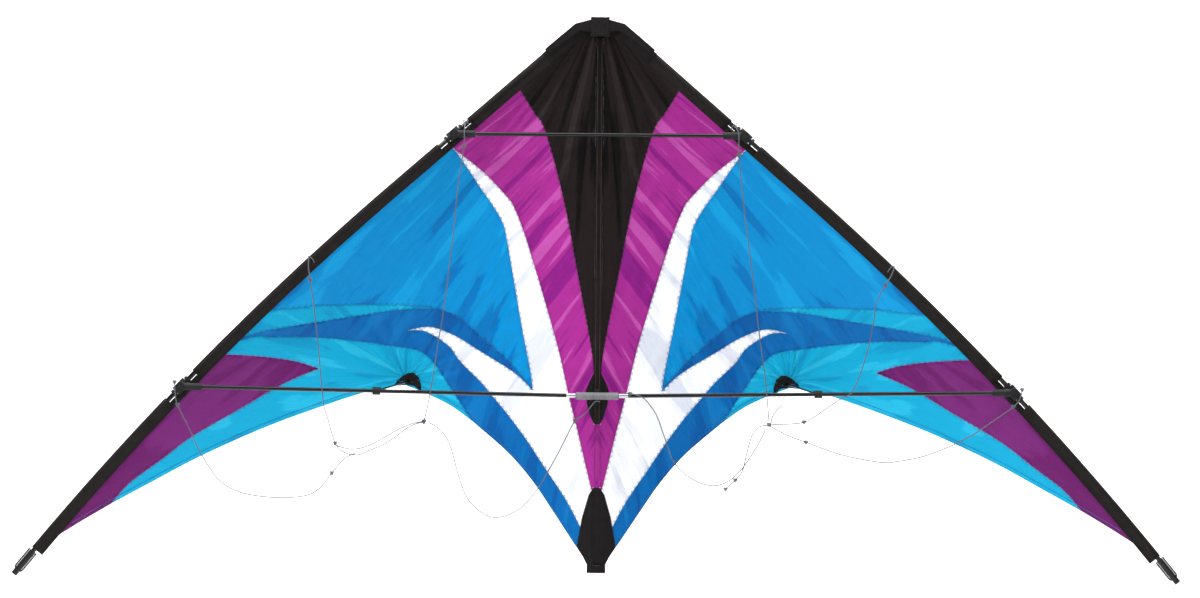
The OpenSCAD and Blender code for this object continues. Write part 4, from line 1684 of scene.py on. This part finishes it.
@dataclass
class Bridle:
    """The slack bridle lines with their loops and knots."""

    plan: Plan
    finishes: Finishes
    cord_d: float = 0.0016
    sides: int = 10
    steps: int = 10

    def lines(self) -> list[Line]:
        """Every bridle line, on the same routes as its plain solid."""
        left, right = Side.LEFT, Side.RIGHT
        return [
            Line(
                "left_upper_line", left,
                [
                    (-206, -9, -167), (-206.5, -15, -168.5), (-207, -20.5, -172), (-207.5, -23, -180),
                    (-208, -23, -203), (-215, -23, -252), (-220, -24, -300), (-224, -24, -344),
                    (-236, -24, -446), (-245, -25, -503), (-251, -26, -545),
                    (-258, -27, -589), (-265, -28, -622),
                ],
                [(-208, -23, -203), (-266, -28, -625)], "knot", loop_at=0.167,
            ),
            Line(
                "left_middle_line", left,
                [
                    (-446, -7, -374), (-446, -12, -390), (-443, -16, -409), (-439, -18, -435),
                    (-433, -20, -480),
                    (-426, -23, -548), (-420, -25, -602), (-414, -26, -622), (-402, -27, -660),
                    (-388, -28, -674),
                    (-368, -28, -678), (-350, -28, -671), (-327, -28, -661), (-306, -28, -647),
                    (-287, -28, -633),
                    (-268, -28, -627),
                ],
                [(-443, -16, -409), (-402, -27, -660)], "object", loop_at=0.378,
            ),
            Line(
                "left_lower_line", left,
                [
                    (-650, -22, -567), (-649, -22.5, -584), (-645, -23, -603), (-624, -24, -645),
                    (-609, -25, -676),
                    (-582, -26, -716), (-549, -27, -736), (-500, -27, -744), (-452, -28, -742),
                    (-426, -28, -730),
                    (-407, -28, -706), (-388, -29, -684), (-370, -29.5, -675),
                ],
                [(-650, -22, -568), (-645, -23, -603), (-407, -28, -706)], "object",
            ),
            Line(
                "left_centre_line", left,
                [
                    (4, -16, -593), (-4, -17, -594), (-12, -19, -604), (-22, -21, -615), (-34, -22, -623),
                    (-48, -24, -650), (-61, -25, -676), (-75, -26, -701), (-92, -27, -730), (-117, -28, -758),
                    (-150, -29, -772), (-174, -29, -766), (-197, -29, -745), (-211, -29, -712),
                    (-225, -29, -664),
                    (-239, -29, -640), (-258, -29, -627),
                ],
                [(-34, -22, -623)], "object", centre=True,
            ),
            Line(
                "right_upper_line", right,
                [
                    (208, -9, -169), (209.5, -15, -170), (212, -20.5, -173), (214.5, -23, -184),
                    (215, -23, -213), (222, -23, -283), (230, -24, -344), (241, -24, -427), (248, -25, -486),
                    (258, -26, -557), (264, -28, -622),
                ],
                [(215, -23, -213), (264, -28, -626)], "knot", loop_at=0.169,
            ),
            Line(
                "right_middle_line", right,
                [
                    (456, -7, -382), (451, -11, -396), (442, -15, -411), (428, -18, -439), (423, -20, -474),
                    (411, -23, -526), (393, -26, -573), (376, -27, -585), (352, -28, -601), (324, -28, -620),
                    (300, -28, -625), (268, -28, -626),
                ],
                [(442, -15, -411), (318, -28, -622)], "object", loop_at=0.386,
            ),
            Line(
                "right_lower_line", right,
                [
                    (653, -22, -569), (650, -22.5, -583), (640, -23, -596), (612, -24, -616),
                    (577, -25, -640),
                    (544, -26, -657), (503, -27, -673), (465, -27, -681), (436, -28, -683), (376, -28, -672),
                    (321, -28, -653), (291, -28, -642), (268, -28, -630),
                ],
                [(653, -22, -570), (640, -23, -596), (321, -28, -653)], "object",
            ),
            Line(
                "right_centre_line", right,
                [
                    (37, -20.5, -581), (50, -21, -581), (62, -22, -583), (74, -23, -590), (91, -25, -613),
                    (104, -26, -648), (119, -27, -686), (147, -28, -711), (179, -29, -721), (205, -29, -712),
                    (225, -29, -692), (246, -29, -660), (259, -29, -634),
                ],
                [(50, -21, -581)], "object", centre=True,
            ),
            Line(
                "right_loose_tail", right,
                [
                    (264, -30, -628), (255, -31, -628), (247, -31, -632), (239, -31, -642), (234, -31, -656),
                    (229, -31, -676), (225, -31, -694), (220, -31, -704), (212, -31, -713), (205, -31, -719),
                    (198, -31, -726),
                ],
                [(213, -31, -712), (198, -31, -726)], "knot", solid=False,
            ),
            Line(
                "right_tow_tail", right,
                [
                    (266, -30, -631), (267, -31, -625), (268, -31, -618), (271, -31, -611), (276, -31, -604),
                    (284, -31, -597),
                ],
                [], "bare", solid=False,
            ),
            Line(
                "left_yoke_upper", left,
                [
                    (-404, -30, -662), (-392, -31, -666), (-379, -31, -669), (-366, -31, -668),
                    (-352, -31, -664),
                    (-338, -31, -657), (-322, -31, -648), (-303, -31, -637), (-284, -31, -629),
                    (-269, -31, -626),
                ],
                [(-266, -30, -626)], "object", solid=False,
            ),
        ]

    def tube(
        self, name: str, path: Sequence[Point3], radius: float, closed: bool = False
    ) -> bpy.types.Object:
        """A round tube along a path in metres, with a UV map that runs along it.

        Args:
            name: The piece's name.
            path: Points of the centre line.
            radius: Radius of the tube.
            closed: Whether the path joins its own start.

        Returns:
            The tube.
        """
        p = [Vector(q) for q in path]
        count, n = len(p), self.sides
        verts, faces, run = [], [], [0.0]
        for a, b in zip(p, p[1:]):
            run.append(run[-1] + (b - a).length)
        side = Vector((1, 0, 0))
        for i, c in enumerate(p):
            ahead = p[(i + 1) % count] if closed or i + 1 < count else c
            behind = p[i - 1] if closed or i else c
            along = (ahead - behind).normalized()
            side = (side - along * side.dot(along)).normalized()
            up = along.cross(side)
            for k in range(n):
                a = math.tau * k / n
                verts.append(c + radius * (math.cos(a) * side + math.sin(a) * up))
        last = count if closed else count - 1
        for i in range(last):
            j = (i + 1) % count
            faces += [(i * n + k, i * n + (k + 1) % n, j * n + (k + 1) % n, j * n + k) for k in range(n)]
        if not closed:
            faces.append(tuple(reversed(range(n))))
            faces.append(tuple((count - 1) * n + k for k in range(n)))
        obj = mesh_from(name, verts, faces)
        layer = obj.data.uv_layers.new(name="along")
        for polygon in obj.data.polygons:
            for loop in polygon.loop_indices:
                v = obj.data.loops[loop].vertex_index
                layer.data[loop].uv = ((v % n) / n, run[v // n])
        return obj

    def knot(self, name: str, at: Point3) -> bpy.types.Object:
        """An overhand knot drawn tight round a line.

        Args:
            name: The piece's name.
            at: Its middle, in metres.

        Returns:
            The knot.
        """
        turns, size = 48, 0.00105
        path = []
        for i in range(turns):
            a = math.tau * i / turns
            x = math.sin(a) + 2 * math.sin(2 * a)
            y = math.cos(a) - 2 * math.cos(2 * a)
            z = -math.sin(3 * a)
            path.append((at[0] + x * size, at[1] + z * size * 0.9, at[2] + y * size))
        return self.tube(name, path, self.cord_d * 0.5, closed=True)

    def loop(self, name: str, side: Side, depth: float) -> bpy.types.Object:
        """A loop of cord round a leading edge.

        Args:
            name: The piece's name.
            side: Its wing.
            depth: Depth of the place that it goes round.

        Returns:
            The loop.
        """
        s = self.plan.edge_at(depth)
        points = []
        for i in range(28):
            a = math.tau * i / 28
            out, back = 0.0069 * math.cos(a), 0.0069 * math.sin(a)
            lean = 0.0022 * math.sin(a)
            points.append(self.plan.edge_point(s + lean, out, back))
        return self.tube(name, mirror_x(points, side), self.cord_d / 2, closed=True)

    def build(self) -> None:
        cord = self.finishes.get("bridle_cord")
        for line in self.lines():
            path = [tuple(c * MM for c in q) for q in smooth_points(line.route, self.steps)]
            obj = self.tube(f"{line.name}_cord", path, self.cord_d / 2)
            extras = [
                self.knot(f"{line.name}_knot_{i + 1}", tuple(c * MM for c in k))
                for i, k in enumerate(line.knots)
            ]
            if line.loop_at is not None:
                extras.append(self.loop(f"{line.name}_loop", line.side, line.loop_at))
            for piece in [obj, *extras]:
                clothe(piece, cord)
            if line.centre:
                for piece in [obj, *extras]:
                    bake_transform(piece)
            else:
                for piece in [obj, *extras]:
                    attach(piece, line.side.body)
            if line.solid:
                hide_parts(line.name)


# ---------------------------------------------------------------- hard parts


@dataclass
class HardParts:
    """The CAD nodes that stay, each given the finish of its slot."""

    finishes: Finishes

    def build(self) -> None:
        """Gives each node that still shows its material."""
        slots = {s["node"]: s["material_slot"] for s in frame["record"]["subparts"]}
        for name, obj in frame["nodes"].items():
            material = self.finishes.get(slots[name])
            obj.data.materials.clear()
            obj.data.materials.append(material)


@dataclass
class SmallParts:
    """Caps and washers that the plain solids leave out."""

    plan: Plan
    finishes: Finishes

    def washer(self, name: str, side: Side) -> bpy.types.Object:
        """The cap behind the sail that a standoff plugs into.

        Args:
            name: The piece's name.
            side: Its wing.

        Returns:
            The cap.
        """
        x, d = self.plan.apex
        x, d = x - 0.004, d - 0.006
        back = self.plan.belly(x, d) + 0.0035
        bpy.ops.object.select_all(action="DESELECT")
        bpy.ops.mesh.primitive_cylinder_add(vertices=32, radius=0.006, depth=0.005)
        obj = bpy.context.view_layer.objects.active
        obj.name = name
        obj.rotation_euler = (math.radians(90), 0, 0)
        obj.location = (side.value * x, back, -d)
        settle(obj)
        make_active(obj)
        bpy.ops.object.mode_set(mode="EDIT")
        bpy.ops.mesh.select_all(action="DESELECT")
        bpy.ops.object.mode_set(mode="OBJECT")
        for polygon in obj.data.polygons:
            polygon.select = polygon.normal.y > 0.9
        bpy.ops.object.mode_set(mode="EDIT")
        bpy.ops.mesh.inset(thickness=0.002, depth=0)
        bpy.ops.mesh.extrude_region_move(TRANSFORM_OT_translate={"value": (0, -0.0015, 0)})
        bpy.ops.object.mode_set(mode="OBJECT")
        recalculate(obj)
        apply_modifier(obj, "BEVEL", width=0.0006, segments=2, limit_method="ANGLE")
        shade_smooth(obj)
        clothe(obj, self.finishes.get("moulded_rubber"))
        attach(obj, side.body)
        return obj

    def build(self) -> None:
        """Makes the small parts of both wings."""
        for side in Side:
            self.washer(f"{side.label}_standoff_cap", side)


# ---------------------------------------------------------------- studio


@dataclass(frozen=True)
class Lamp:
    """An area light: its place and size in metres, its power in watts and what it faces."""

    name: str
    place: Point3
    size: float
    power: float
    at: Point3 = (0.0, 0.0, -0.44)


LAMPS = (
    Lamp("key", (-2.3, -2.3, 2.0), 0.8, 92),
    Lamp("fill", (2.2, -4.2, 1.0), 2.0, 46),
    Lamp("wall_wash", (0.0, 0.2, 2.2), 3.0, 190, (0.0, 2.2, 0.4)),
)


@dataclass
class Studio:
    """The pale floor and backdrop, the light and the camera."""

    distance: float = 9.0
    frame_w: float = 1.849
    centre: tuple[float, float] = (0.003, -0.4355)
    roll: float = math.radians(0.45)
    sensor: float = 36.0
    world_strength: float = 0.24
    floor_drop: float = 0.25
    floor_front: float = -12.0
    wall_y: float = 2.2
    wall_height: float = 9.0
    bend: float = 0.8
    bend_steps: int = 12
    half_width: float = 9.0

    def camera(self) -> None:
        """A long lens straight in front of the kite."""
        data = bpy.data.cameras.new("camera")
        data.sensor_width = self.sensor
        data.lens = self.sensor * self.distance / self.frame_w
        obj = bpy.data.objects.new("camera", data)
        bpy.context.scene.collection.objects.link(obj)
        stand = Matrix.Translation((self.centre[0], -self.distance, self.centre[1]))
        obj.matrix_world = stand @ Matrix.Rotation(
            math.radians(90), 4, "X"
        ) @ Matrix.Rotation(self.roll, 4, "Z")
        bpy.context.scene.camera = obj

    def backdrop(self) -> None:
        """A floor that curves up into a wall behind the kite."""
        floor_z = CAD_LOW[2] - self.floor_drop
        bend_y = self.wall_y - self.bend
        profile = [(self.floor_front, floor_z), (bend_y, floor_z)]
        for i in range(1, self.bend_steps + 1):
            a = math.radians(90 * i / self.bend_steps)
            profile.append((bend_y + self.bend * math.sin(a), floor_z + self.bend * (1 - math.cos(a))))
        profile.append((self.wall_y, floor_z + self.wall_height))
        verts = [(x, y, z) for y, z in profile for x in (-self.half_width, self.half_width)]
        faces = [(2 * i, 2 * i + 1, 2 * i + 3, 2 * i + 2) for i in range(len(profile) - 1)]
        obj = mesh_from("backdrop", verts, faces)
        n = Nodes("backdrop_paper")
        tone = n.ramp(n.noise(n.coords(), 3.0), [(0.3, (0.93, 0.93, 0.93)), (0.7, (0.97, 0.97, 0.97))])
        n.link(tone, n.shader.inputs["Base Color"])
        n.shader.inputs["Roughness"].default_value = 0.9
        obj.data.materials.append(n.material)

    @staticmethod
    def light(lamp: Lamp) -> None:
        """Hangs an area light that faces its point.

        Args:
            lamp: The light to hang.
        """
        data = bpy.data.lights.new(lamp.name, "AREA")
        data.size = lamp.size
        data.energy = lamp.power
        obj = bpy.data.objects.new(lamp.name, data)
        bpy.context.scene.collection.objects.link(obj)
        obj.location = lamp.place
        obj.rotation_euler = (Vector(lamp.at) - Vector(lamp.place)).to_track_quat("-Z", "Y").to_euler()

    def build(self) -> None:
        """Sets up everything round the kite."""
        scene = bpy.context.scene
        scene.view_settings.view_transform = "Standard"
        world = bpy.data.worlds.new("studio")
        world.use_nodes = True
        world.node_tree.nodes["Background"].inputs["Color"].default_value = (1, 1, 1, 1)
        world.node_tree.nodes["Background"].inputs["Strength"].default_value = self.world_strength
        scene.world = world
        for lamp in LAMPS:
            self.light(lamp)
        self.camera()
        self.backdrop()


def main() -> None:
    """Builds the kite and its studio in order."""
    logging.basicConfig(level=logging.INFO, format="%(message)s")
    plan, finishes = Plan(), Finishes()
    Studio().build()
    Bridle(plan, finishes).build()
    art = Artwork(plan)
    for side in Side:
        Sail(plan, art, finishes, side).build()
        Sleeve(plan, finishes, side).build()
    Nose(plan, finishes).build()
    Centre(plan, finishes).build()
    SmallParts(plan, finishes).build()
    HardParts(finishes).build()


if __name__ == "__main__":
    main()
